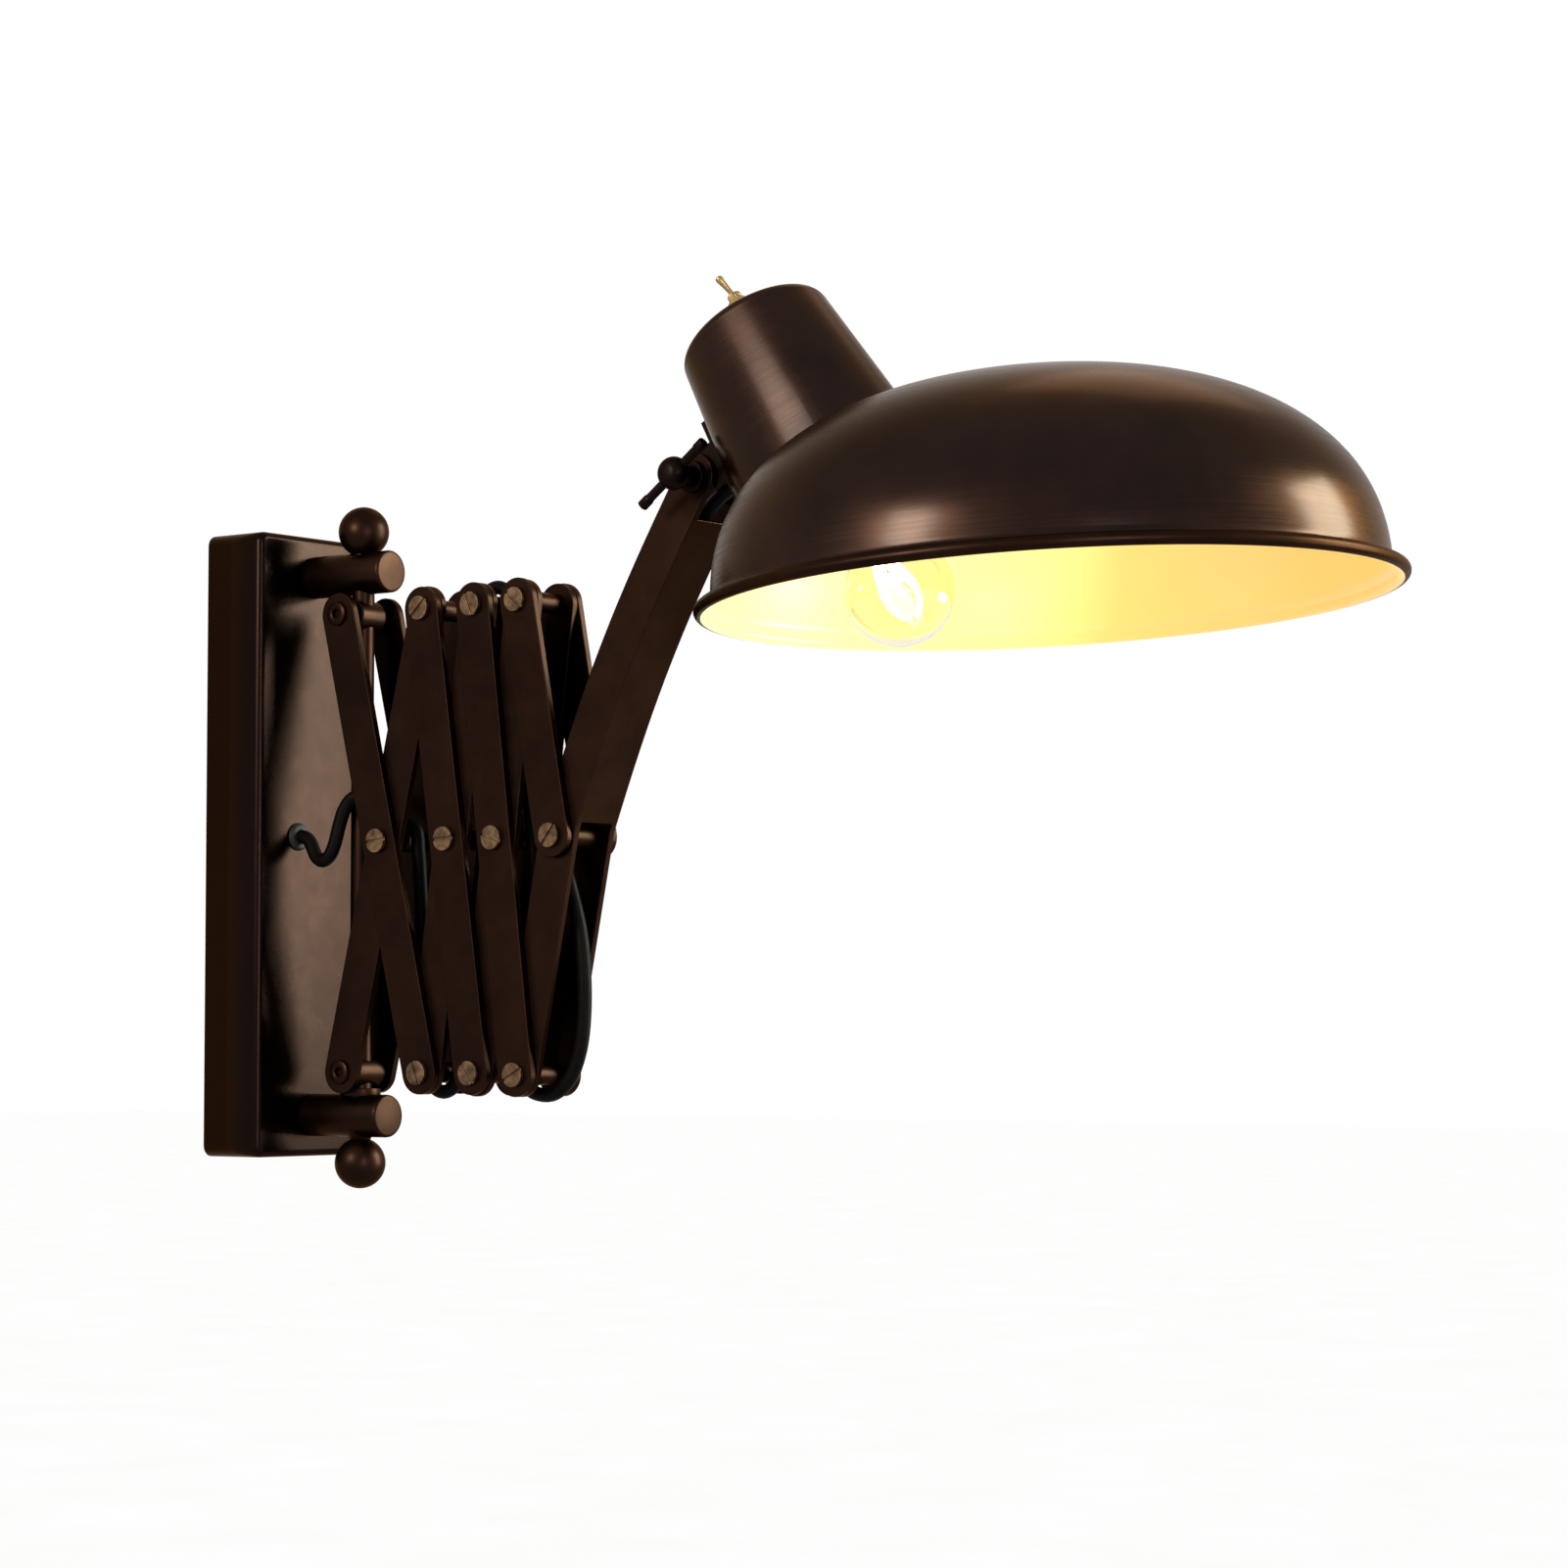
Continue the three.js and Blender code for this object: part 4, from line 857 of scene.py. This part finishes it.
def pressedCover():
    deep, corner, edge, steps = (coverSizes[key] for key in ("depth", "corner", "edge", "edgeSteps"))
    wide, high = coverSizes["width"] / 2 - corner, coverSizes["height"] / 2 - corner
    # Each ring is drawn in by the first value of a pair, and stands out by the second
    rolledEdge = [(edge - x, deep - edge + z) for x, z in arcPoints((0, 0), edge, 0, 90, steps)]
    work = bmesh.new()
    rings = []
    for drawIn, out in [(0.0, 0.0), *rolledEdge]:
        outline = []
        for sideX, sideZ, start in ((1, 1, 0), (-1, 1, 90), (-1, -1, 180), (1, -1, 270)):
            centre = (sideX * wide, sideZ * high)
            outline += arcPoints(centre, corner - drawIn, start, start + 90, coverSizes["cornerSteps"])
        rings.append([work.verts.new((x, -out, z)) for x, z in outline])
    bridge(work, rings)
    work.faces.new(rings[-1])
    mesh = meshFrom(work, "wallCover", smooth=40)
    if max(mesh.polygons, key=lambda face: face.area).normal.y > 0:
        mesh.flip_normals()
    return mesh


wallCover = linkPiece("wallCover", pressedCover(), coverBronze)
sheet = wallCover.modifiers.new("sheet", "SOLIDIFY")
sheet.thickness, sheet.offset = coverSizes["wall"] * mm, -1
settle(wallCover, "wall_bracket", "bronze_finish", "wall_cover")
print("wall cover pressed")


# Posts, rod and finials. A sleeve's outline runs up its outside from one end to the other.
def sleeveOutline(inner, outer, low, high):
    return [(inner, low), (outer, low), (outer, high), (inner, high)]


wallBronze = (bronze, "wall_bracket", "bronze_finish")
postSizes = {"rise": 121.5, "radius": 9.5, "reach": 80.0, "face": 33.3, "rod": 63.0}
finialSizes = {
    "ball": 11.35, "neck": 6.4, "waist": 4.6, "foot": 6.4, "upper": 18.7, "lower": 21.0, "steps": 28,
}
for name, side in (("upper", 1), ("lower", -1)):
    rise = side * postSizes["rise"]
    outline = sleeveOutline(0, postSizes["radius"], postSizes["face"], postSizes["reach"])
    outline = rounded(outline, {1: 1.2, 2: 1.4}, 4)
    turnedPiece(name + "Post", outline, moved(0, rise) @ outwardAxis, *wallBronze, [name + "_post"])
    ball, neck, waist, foot, middle = (finialSizes[key] for key in ("ball", "neck", "waist", "foot", name))
    startAngle = math.degrees(math.asin(waist / ball)) - 90
    sphere = arcPoints((0, middle), ball, startAngle, 90, finialSizes["steps"])
    outline = [(0, foot - 1), (neck + 0.9, foot), (neck, foot + 1.2), (waist + 0.5, sphere[0][1] - 1.2)]
    outline += [*sphere[:-1], (0, middle + ball)]
    placed = moved(postSizes["rod"], rise) @ turnedBy(0 if side > 0 else 180)
    turnedPiece(name + "Finial", outline, placed, *wallBronze, [name + "_finial"], sides=56)

rodSizes = {"radius": 5.0, "half": 130.0}
rodPlace = moved(postSizes["rod"], 0)
rodOutline = sleeveOutline(0, rodSizes["radius"], -rodSizes["half"], rodSizes["half"])
turnedPiece("pivotRod", rodOutline, rodPlace, *wallBronze, ["pivot_rod"], sides=48)

washerSizes = {"inner": 5.3, "outer": 9.0, "bottom": -112.7, "top": -109.3}
turnedPiece(
    "thrustWasher", rounded(sleeveOutline(*washerSizes.values()), 0.4, 2), rodPlace,
    bronze, "wall_bracket", "brass_hardware", ["thrust_washer"], sides=56, closed=True,
)

# Barrels: turned cross tubes with a hollow rivet at each end. The forms give, from the middle,
# where the tube, the collar and the rivet's seat lie.
barrelSizes = {
    "radius": 7.0, "stub": 3.5, "collar": 4.0, "rivet": 5.5, "rivetHeight": 1.5, "hollow": 2.0, "depth": 3.0,
    "gap": 0.3,
}
barrelForms = {"lower": ("swivel", b0, 9.7, 9.7, 13.2), "upper": ("slider", t0, 7.5, 13.2, 16.7)}


def barrelOutline(half, collarEnd, seat):
    radius, stub, collar, rivet, rise, hollow, depth, gap = barrelSizes.values()
    foot = seat + gap
    end = foot + rise
    side = [
        (0, end - depth), (hollow, end - depth), (hollow, end - 0.3), (hollow + 0.5, end), (rivet - 1.2, end),
        (rivet - 0.3, end - 0.5), (rivet, foot), (stub, foot), (stub, collarEnd), (collar, collarEnd),
        (collar, half), (radius - 0.6, half), (radius, half - 0.6),
    ]
    return side + [(r, -x) for r, x in reversed(side)]


for name, (body, place, *ends) in barrelForms.items():
    turnedPiece(
        name + "Barrel", barrelOutline(*ends), moved(*place) @ sidewaysAxis, bronze, body, "bronze_finish",
        [name + "_barrel"], sides=48,
    )

# Cord grommet: moulded rubber, flanged against the cover's face
grommetSizes = {
    "along": -10.0, "up": 3.5, "flange": 6.5, "height": 2.0, "nose": 4.0, "length": 8.0, "bore": 3.3,
}
sideways, up, flange, height, nose, length, bore = grommetSizes.values()
face = postSizes["face"]
turnedPiece(
    "cordGrommet",
    rounded([
        (bore, face - length), (nose, face - length), (nose, face), (flange, face),
        (flange - 1.2, face + height), (bore, face + height),
    ], 0.6),
    moved(0, up, sideways) @ outwardAxis, rubber, "wall_bracket", "black_rubber", ["cord_grommet"],
    sides=48, closed=True,
)
print("bracket turned")

# Shade: a spun dome whose wall follows a superellipse from crown to rim
shadeSizes = {
    "radius": 134.8, "height": 87.5, "power": 2.33, "wall": 1.0, "rim": 141.7, "bead": 2.75,
    "flare": 3.6, "flareHeight": 5.0, "enamelLap": 1.8, "sides": 128, "rows": 56,
}
neckSizes = {"topRadius": 32.95, "halfAngle": 6.2, "wall": 1.2, "edge": 5.0, "length": 126.0}


def neckRadius(drop):
    return neckSizes["topRadius"] + drop * math.tan(math.radians(neckSizes["halfAngle"]))


holeInset = 1.5  # the dome's hole is this much smaller than the neck, which covers its edge
neckInShade = shadeMatrix.inverted() @ neckMatrix
domeValues = {
    "Radius": shadeSizes["radius"] * mm, "Height": shadeSizes["height"] * mm, "Power": shadeSizes["power"],
    "Wall": shadeSizes["wall"] * mm, "Rim Radius": (shadeSizes["rim"] - shadeSizes["bead"]) * mm,
    "Bead Radius": shadeSizes["bead"] * mm, "Enamel Lap": shadeSizes["enamelLap"] * mm,
    "Flare": shadeSizes["flare"] * mm, "Flare Height": shadeSizes["flareHeight"] * mm,
    "Sides": shadeSizes["sides"], "Rows": shadeSizes["rows"],
    "Outside": spun, "Inside": enamelWithPaintedLight, "Bead": bronze,
    "Neck Place": neckInShade.to_translation() * mm, "Neck Turn": Vector(neckInShade.to_euler()),
    "Neck Length": neckSizes["length"] * mm, "Neck Top Radius": (neckRadius(0) - holeInset) * mm,
    "Neck Low Radius": (neckRadius(neckSizes["length"]) - holeInset) * mm,
}


# The grid's rows run from the crown out to the rim, and back inside the wall to the crown
def domeTree():
    tree, given, out = newTree("spunDome", domeValues)
    size = given.outputs

    def calc(operation, first, second=0.0):
        return mathOf(tree, operation, first, second)

    def circle(resolution, radius):
        return addNode(tree, "GeometryNodeCurvePrimitiveCircle", {"Resolution": resolution, "Radius": radius})

    grid = addNode(tree, "GeometryNodeMeshGrid", {
        "Size X": 1.0, "Size Y": 1.0, "Vertices X": calc("ADD", size["Sides"], 1.0),
        "Vertices Y": calc("ADD", calc("MULTIPLY", size["Rows"], 2.0), 1.0),
    })
    position = addNode(tree, "GeometryNodeInputPosition")
    split = addNode(tree, "ShaderNodeSeparateXYZ", {"Vector": position}).outputs
    turn = calc("MULTIPLY", calc("ADD", split["X"], 0.5), 2 * math.pi)
    row = calc("MULTIPLY", calc("ADD", split["Y"], 0.5), 2.0)
    inside = calc("GREATER_THAN", row, 1.0005)
    folded = calc("SUBTRACT", 1.0, calc("ABSOLUTE", calc("SUBTRACT", row, 1.0)))
    finer = calc("POWER", calc("MAXIMUM", calc("SUBTRACT", 1.0, folded), 0.0), 1.6)
    theta = calc("MULTIPLY", calc("SUBTRACT", 1.0, finer), math.pi / 2)
    drawIn = calc("MULTIPLY", inside, size["Wall"])
    exponent = calc("DIVIDE", 2.0, size["Power"])

    def superellipse(wave, reach):
        share = calc("POWER", calc("MAXIMUM", calc(wave, theta), 0.0), exponent)
        return calc("MULTIPLY", share, calc("SUBTRACT", reach, drawIn))

    up = superellipse("COSINE", size["Height"])
    low = calc("MAXIMUM", calc("SUBTRACT", 1.0, calc("DIVIDE", up, size["Flare Height"])), 0.0)
    flared = calc("MULTIPLY", size["Flare"], calc("POWER", low, 2.0))
    across = calc("ADD", superellipse("SINE", size["Radius"]), flared)
    domed = addNode(tree, "GeometryNodeSetPosition", {"Geometry": grid, "Position": combined(
        tree, X=calc("MULTIPLY", across, calc("COSINE", turn)),
        Y=calc("MULTIPLY", across, calc("SINE", turn)), Z=up,
    )})
    closed = addNode(tree, "GeometryNodeMergeByDistance", {
        "Geometry": painted(tree, domed, size["Outside"]), "Distance": 2e-6,
    })
    outward = addNode(tree, "GeometryNodeFlipFaces", {"Mesh": closed})
    facing = addNode(tree, "GeometryNodeInputNormal")
    away = vectorMath(tree, "DOT_PRODUCT", facing, position).outputs["Value"]
    lined = painted(tree, outward, size["Inside"], Selection=calc("LESS_THAN", away, 0.0))
    cone = addNode(tree, "GeometryNodeMeshCone", {
        "Vertices": 128, "Radius Top": size["Neck Top Radius"], "Radius Bottom": size["Neck Low Radius"],
        "Depth": size["Neck Length"],
    })
    sunk = combined(tree, Z=calc("MULTIPLY", size["Neck Length"], -1.0))
    lowered = transformed(tree, cone, Translation=sunk)
    opened = addNode(tree, "GeometryNodeMeshBoolean", {
        "Mesh 1": lined,
        "Mesh 2": transformed(tree, lowered, Translation=size["Neck Place"], Rotation=size["Neck Turn"]),
    }, operation="DIFFERENCE")
    rolled = addNode(tree, "GeometryNodeCurveToMesh", {
        "Curve": circle(size["Sides"], size["Rim Radius"]), "Profile Curve": circle(24, size["Bead Radius"]),
    })
    # The bead is enamelled on its inner half, but for a lap of bronze over its top
    reach = vectorMath(tree, "LENGTH", position).outputs["Value"]
    lap = calc("MULTIPLY", calc("GREATER_THAN", split["Z"], 0.0), size["Enamel Lap"])
    innerHalf = calc("LESS_THAN", reach, calc("SUBTRACT", size["Rim Radius"], lap))
    bead = painted(tree, painted(tree, rolled, size["Bead"]), size["Inside"], Selection=innerHalf)
    whole = addNode(tree, "GeometryNodeRealizeInstances", {"Geometry": joined(tree, opened, bead)})
    feed(tree, out, {"Geometry": whole})
    return tree


shade = grown("shade_dome", bpy.data.meshes.new("dome"), domeTree(), domeValues)
shade.data.transform(inMetres(shadeMatrix))
smoothByAngle(shade.data, 40)
settle(shade, "head", "bronze_finish", "shade")
print("shade spun,", len(shade.data.polygons), "faces")


# Neck: a tapered cup with a rounded top edge, seated on the dome
def neckOutline(offset):
    edge, length = neckSizes["edge"], neckSizes["length"]
    corner = arcPoints((neckRadius(edge) - edge, -edge), edge - offset, 90, neckSizes["halfAngle"], 8)
    return [(0, -offset), *corner, (neckRadius(length) - offset, -length)]


# The dome as a filled form, to trim the neck where it sits on it
def filledDome(offset, steps=40, depth=60):
    radius, height = shadeSizes["radius"] + offset, shadeSizes["height"] + offset
    power = 2 / shadeSizes["power"]
    angles = [math.pi / 2 * k / steps for k in range(steps)]
    outline = [(radius * math.sin(a) ** power, height * math.cos(a) ** power) for a in angles]
    outline += [(radius, 0), (radius, -depth), (0, -depth)]
    return linkPiece("filledDome", turnedMesh("filledDome", outline, shadeMatrix, 128))


neckShell = neckOutline(0) + neckOutline(neckSizes["wall"])[::-1]
neckCup = linkPiece("neckCup", turnedMesh("neckCup", neckShell, neckMatrix, 112), spunNeck)
cutter = filledDome(-0.4)
trim = neckCup.modifiers.new("cut", "BOOLEAN")
trim.operation, trim.solver, trim.object = "DIFFERENCE", "EXACT", cutter
applied(neckCup)
bpy.data.objects.remove(cutter)
smoothByAngle(neckCup.data)
# The inside of the neck is enamelled as the shade's is, and carries the same painted bulb light: faces that
# look towards its axis
neckCup.data.materials.append(enamelWithPaintedLight)
intoNeck = inMetres(neckMatrix).inverted()
for polygon in neckCup.data.polygons:
    centre = intoNeck @ polygon.center
    facing = intoNeck.to_3x3() @ polygon.normal
    if centre.x * facing.x + centre.y * facing.y < -0.3 * math.hypot(centre.x, centre.y):
        polygon.material_index = 1
settle(neckCup, "head", "bronze_finish", "neck_cup")

# The seam where neck and dome meet, rolled over into a fine bead
seamSizes = {"radius": 0.8, "points": 96, "sides": 10, "halvings": 40}


# Above zero outside the dome, and below it inside
def domeDepth(point):
    local = shadeMatrix.inverted() @ point
    across = math.hypot(local.x, local.y) / shadeSizes["radius"]
    return across ** shadeSizes["power"] + (max(local.z, 0) / shadeSizes["height"]) ** shadeSizes["power"] - 1


# Where the neck's side meets the dome, found by halving the stretch that holds the place
def seamPoint(angle):
    low, high = neckSizes["edge"], neckSizes["length"]
    for _ in range(seamSizes["halvings"]):
        drop = (low + high) / 2
        radius = neckRadius(drop)
        point = neckMatrix @ Vector((radius * math.cos(angle), radius * math.sin(angle), -drop))
        low, high = (drop, high) if domeDepth(point) > 0 else (low, drop)
    return point


seamPath = [seamPoint(angle) for angle in roundAngles(seamSizes["points"])]
neckAxis = (neckMatrix.to_3x3() @ Vector((0, 0, 1))).normalized()
seamMesh = tubeMesh("neckSeam", seamPath, seamSizes["radius"], seamSizes["sides"], neckAxis)
seam = settle(linkPiece("neckSeam", seamMesh, spunNeck), "head", "bronze_finish")
print("neck seated")

# Lamp holder and bulb on the neck's axis, whose heights run down from the neck's top
holderSizes = {
    "top": 53.8, "cap": 15.0, "radius": 19.5, "skirt": 21.0, "shoulder": 6.2, "body": 42.0, "lip": 6.0,
    "bore": 13.5, "depth": 21.5, "slope": 2.0, "nipple": 5.0, "nippleBore": 3.6, "nippleLength": 7.5,
}
top, cap, radius, skirt, shoulder, body, lip, bore, depth, slope, *nippleSizes = holderSizes.values()
nipple, nippleBore, nippleLength = nippleSizes
holderEnd = top + shoulder + body + slope
lipEnd = holderEnd + lip - slope
turnedPiece(
    "lampHolder",
    rounded([
        (nippleBore, nippleLength - top), (nipple, nippleLength - top), (nipple, -top), (cap, -top),
        (radius, -top - shoulder), (radius, slope - holderEnd), (skirt, -holderEnd), (skirt, -lipEnd),
        (bore, -lipEnd), (bore, depth - lipEnd), (nippleBore, depth - lipEnd),
    ], 0.8),
    neckMatrix, porcelain, "head", "ivory_plastic", ["lamp_holder"], sides=56, closed=True,
)

capSizes = {
    "radius": 13.0, "length": 26.9, "inset": 0.6, "contact": 4.5, "threads": 5, "pitch": 3.6,
    "threadDepth": 0.55, "threadStart": 5.8, "steps": 6,
}
capTop = lipEnd - holderSizes["depth"] + capSizes["inset"]
capEnd = capTop + capSizes["length"]


def capOutline():
    radius, contact, steps = capSizes["radius"], capSizes["contact"], capSizes["steps"]
    outline = [(0, 0), (contact, 0), (contact, -1.5), (10, -3.2), (12.2, -5.2)]
    for k in range(capSizes["threads"] * steps + 1):
        drop = capSizes["threadStart"] + capSizes["pitch"] * k / steps
        hollow = capSizes["threadDepth"] * (1 - math.cos(2 * math.pi * k / steps)) / 2
        outline.append((radius - hollow, -drop))
    outline += [(radius, -capSizes["length"]), (0, -capSizes["length"])]
    return [(r, height - capTop) for r, height in outline]


turnedPiece("bulbCap", capOutline(), neckMatrix, nickel, "head", "nickel_plate", ["bulb_cap"], sides=48)

bulbSizes = {
    "radius": 22.8, "centre": 23.3, "throat": 12.2, "waistRise": 8.7, "wall": 0.7, "gap": 0.3, "steps": 32,
}
ball, throat, wall = bulbSizes["radius"], bulbSizes["throat"], bulbSizes["wall"]
glassTop = capEnd + bulbSizes["gap"]
glassMiddle = capEnd + bulbSizes["centre"]
waistAngle = math.degrees(math.acos((bulbSizes["centre"] - bulbSizes["waistRise"]) / ball))
outer = [(0, -glassTop), (throat, -glassTop)]
outer += [(throat + 0.6, -glassTop - 2.5), (throat + 2.0, -glassTop - 5.0)]
outer += arcPoints((0, -glassMiddle), ball, 90 - waistAngle, -90, bulbSizes["steps"])
outer[-1] = (0, -ball - glassMiddle)
inner = []
for k, (radius, height) in enumerate(outer):
    ahead = Vector(outer[min(k + 1, len(outer) - 1)]) - Vector(outer[max(k - 1, 0)])
    inward = Vector((ahead.y, -ahead.x)).normalized() * wall
    inner.append((max(radius + (-wall if k == 1 else inward.x), 0), height + (-wall if k <= 1 else inward.y)))
inner[0], inner[-1] = (0, outer[0][1] - wall), (0, outer[-1][1] + wall)
innerGlass = turnedMesh("innerGlass", inner, neckMatrix)
innerGlass.flip_normals()  # the hollow's side of the glass
shell = joinMeshes("bulbGlass", [turnedMesh("outerGlass", outer, neckMatrix), innerGlass], glass)
settle(shell, "head", "opal_glass", "bulb_glass")

# Filament: a zigzag cage of hot wire, hung between two leads over a pressed glass stem
filamentSizes = {
    "topRing": 4.0, "lowRing": 7.6, "wire": 0.9, "strands": 7, "rise": 17.0, "lift": 5.5, "lead": 0.4,
    "leadFoot": 1.2, "leadSink": 3.0, "stem": 3.2, "stemLength": 14.0, "sides": 8,
}
topRing, lowRing, foot = (filamentSizes[key] for key in ("topRing", "lowRing", "leadFoot"))
cageTop = neckPlace["bulbDrop"] - filamentSizes["lift"] - filamentSizes["rise"] / 2
cagePath = []
for k in range(2 * filamentSizes["strands"] + 1):
    angle = math.pi * k / filamentSizes["strands"]
    ring, drop = (lowRing, cageTop + filamentSizes["rise"]) if k % 2 else (topRing, cageTop)
    cagePath.append(Vector((ring * math.cos(angle), ring * math.sin(angle), -drop)))
strands = [
    neckMatrix @ (a + (b - a) * t) for a, b in zip(cagePath, cagePath[1:]) for t in (0.04, 0.35, 0.65, 0.96)
]
cageMesh = tubeMesh("filamentCage", strands, filamentSizes["wire"], filamentSizes["sides"])
settle(linkPiece("filamentCage", cageMesh, filamentGlow), "head", "opal_glass")
stemTop = glassTop + wall + 0.05
stemEnd = stemTop + filamentSizes["stemLength"]
thick = filamentSizes["stem"]
stem = turnedMesh("stem", [
    (0, -stemTop), (thick + 1.5, -stemTop), (thick, -stemTop - 3), (thick - 0.8, 2 - stemEnd),
    (thick - 1.6, -stemEnd), (0, -stemEnd),
], neckMatrix, 24)
settle(linkPiece("filamentStem", stem, glass), "head", "opal_glass")
leadTop = stemEnd - filamentSizes["leadSink"]
leads = []
for side in (1, -1):
    path = [
        neckMatrix @ Vector((
            side * (foot + (topRing - foot) * min(1, t * 2.2)), 0, -leadTop - (cageTop - leadTop) * t,
        ))
        for t in shares(12)
    ]
    leads.append(tubeMesh("lead", path, filamentSizes["lead"], filamentSizes["sides"]))
settle(joinMeshes("filamentLeads", leads, nickel), "head", "nickel_plate")
print("lamp fitted")

# Switch: a threaded bush through the neck's top, and a bat lever. The outlines are
# (radius, height).
toggleSizes = {
    "along": -20.8, "across": 11.5, "bush": 3.0, "foot": -4.0, "thread": 0.22, "threadStart": -1.5,
    "threadStep": 0.5, "threadSteps": 14, "lean": 25.0, "pivot": 5.2,
    "mouth": [(2.85, 5.6), (2.6, 6.0), (2.3, 6.0), (1.8, 3.4), (0, 3.4)],
    "lever": [
        (0, -1.5), (1.06, -1.06), (1.5, 0), (1.15, 1.3), (1.05, 3.0), (1.25, 6.0), (1.6, 8.6),
        (1.7, 9.6), (1.45, 10.5), (0.8, 10.9), (0, 11.0),
    ],
}
bush = toggleSizes["bush"]
bushOutline = [(0, toggleSizes["foot"]), (bush, toggleSizes["foot"])]
for k in range(toggleSizes["threadSteps"]):
    height = toggleSizes["threadStart"] + toggleSizes["threadStep"] * k
    bushOutline.append((bush - toggleSizes["thread"] * (k % 2), height))
bushOutline += toggleSizes["mouth"]
switchMatrix = neckMatrix @ moved(toggleSizes["across"], 0, toggleSizes["along"])
turnedPiece("switchBush", bushOutline, switchMatrix, turnedBrass, "head", "nickel_plate", sides=40)
turnedPiece(
    "switchLever", toggleSizes["lever"],
    switchMatrix @ moved(0, toggleSizes["pivot"]) @ turnedBy(-toggleSizes["lean"], "Y"),
    turnedBrass, "switch_lever", "bronze_finish", ["switch_lever"], sides=32,
)

# Hand screw: a collar, a round hub standing off it and a straight cross bar with square tips
wingSizes = {
    "face": 13.5, "collar": 6.8, "collarEnd": 16.2, "waist": 4.4, "hub": 7.1, "hubHalf": 5.6,
    "hubAngle": 62.0, "middle": 26.5, "shank": 3.0, "shankEnd": 19.5,
}
crossSizes = {"half": 20.5, "slid": 0.5, "bar": 2.0, "tip": 2.35, "tipLength": 4.5, "angle": 36.5}
face, collar, collarEnd, waist, hub, hubHalf, hubAngle, middle, shank, shankEnd = wingSizes.values()
hubOutline = [(0, -middle - hubHalf)]
for x, z in arcPoints((0, 0), 1, -hubAngle, hubAngle, 14):
    hubOutline.append((hub * x, -middle + hubHalf * z / math.sin(math.radians(hubAngle))))
hubOutline += rounded([
    (waist, hubHalf - middle), (waist, -collarEnd), (collar, -collarEnd), (collar, -face), (shank, -face),
    (shank, shankEnd), (0, shankEnd),
], {2: 0.9, 3: 0.5, 5: 0.6}, 5)
half, slid, bar, tip, tipLength, angle = crossSizes.values()
step = half - tipLength
crossOutline = rounded([
    (0, -half), (tip, -half), (tip, -step), (bar, 0.8 - step), (bar, step - 0.8), (tip, step),
    (tip, half), (0, half),
], 0.5)
crossPlace = tiltMatrix @ moved(0, 0, -middle) @ turnedBy(90 - angle) @ moved(0, -slid)
hubMesh = turnedMesh("hub", hubOutline, tiltMatrix @ sidewaysAxis, 48)
crossBar = turnedMesh("crossBar", crossOutline, crossPlace, 32)
wingScrew = joinMeshes("wingScrew", [hubMesh, crossBar], blackened)
settle(wingScrew, "wing_screw", "bronze_finish", "wing_screw")
print("fittings set")

# Floor and light
studio = {"floorDrop": -0.62, "floorHalf": 20.0, "world": 1.0, "worldColour": "#ffffff"}
reach, drop = studio["floorHalf"], studio["floorDrop"]
corners = [(-reach, -reach, drop), (reach, -reach, drop), (reach, reach, drop), (-reach, reach, drop)]
floorMesh = bpy.data.meshes.new("floor")
floorMesh.from_pydata(corners, [], [(0, 1, 2, 3)])
# Painted board: flat white, faintly mottled over 200 mm
floorPaint = plainFinish("paintedBoard", "#fcfcfb", "#ffffff", 25.0, 0.8, 1.45)
floor = linkPiece("floor", floorMesh, floorPaint)

world = bpy.data.worlds.new("studio")
world.use_nodes = True
feed(world.node_tree, world.node_tree.nodes["Background"], {
    "Color": linearColour(studio["worldColour"]), "Strength": studio["world"],
})
bpy.context.scene.world = world

# The soft boxes light the lamp alone, as if flagged off the floor, so that it stays even
lampOnly = bpy.data.collections.new("lampOnly")
neckOnly = bpy.data.collections.new("neckOnly")
for piece in bpy.context.scene.objects:
    if piece.type == "MESH" and piece != floor:
        lampOnly.objects.link(piece)
for piece in (neckCup, seam):
    neckOnly.objects.link(piece)

# Where the long side runs from and to, in metres, the width, the target, watts and colour
softBoxes = {
    "rightPanel": ((1.42, -1.62, 0.36), (1.42, -1.62, 1.1), 0.8, (0, -0.3, 0.1), 98, "#edfcee"),
    "lowPanel": ((1.42, -1.62, -0.3), (1.42, -1.62, 0.32), 0.8, (0, -0.1, 0.0), 46, "#eefcee"),
    "edgeStrip": ((-1.1, -1.95, -0.4), (-1.1, -1.95, 0.5), 0.12, (0, -0.05, 0.0), 20, "#fff4f0"),
    "leftPanel": ((-1.95, 0.05, 0.4), (-1.8, -0.02, 0.95), 0.5, (-0.08, -0.4, 0.13), 46, "#f8fbea"),
    "neckPanel": ((-1.7, 0.47, 1.19), (-1.39, -0.35, 1.78), 0.25, (-0.03, -0.32, 0.18), 26, "#f8fbf0"),
    "topPanel": ((1.49, 0.0, 1.33), (0.8, -0.03, 1.9), 0.8, (-0.05, -0.5, 0.15), 3.6, "#ffeedd"),
}
for name, (start, end, width, target, watts, colour) in softBoxes.items():
    span = Vector(end) - Vector(start)
    middle = (Vector(start) + Vector(end)) / 2
    facing = (middle - Vector(target)).normalized()
    long = (span - facing * span.dot(facing)).normalized()
    data = bpy.data.lights.new(name, "AREA")
    data.shape, data.size, data.size_y = "RECTANGLE", width, span.length
    data.energy, data.color = watts, linearColour(colour)[:3]
    lamp = bpy.data.objects.new(name, data)
    axes = Matrix((long.cross(facing), long, facing)).transposed().to_4x4()
    lamp.matrix_world = Matrix.Translation(middle) @ axes
    lamp.light_linking.receiver_collection = neckOnly if name == "neckPanel" else lampOnly
    bpy.context.scene.collection.objects.link(lamp)
print("studio lit")
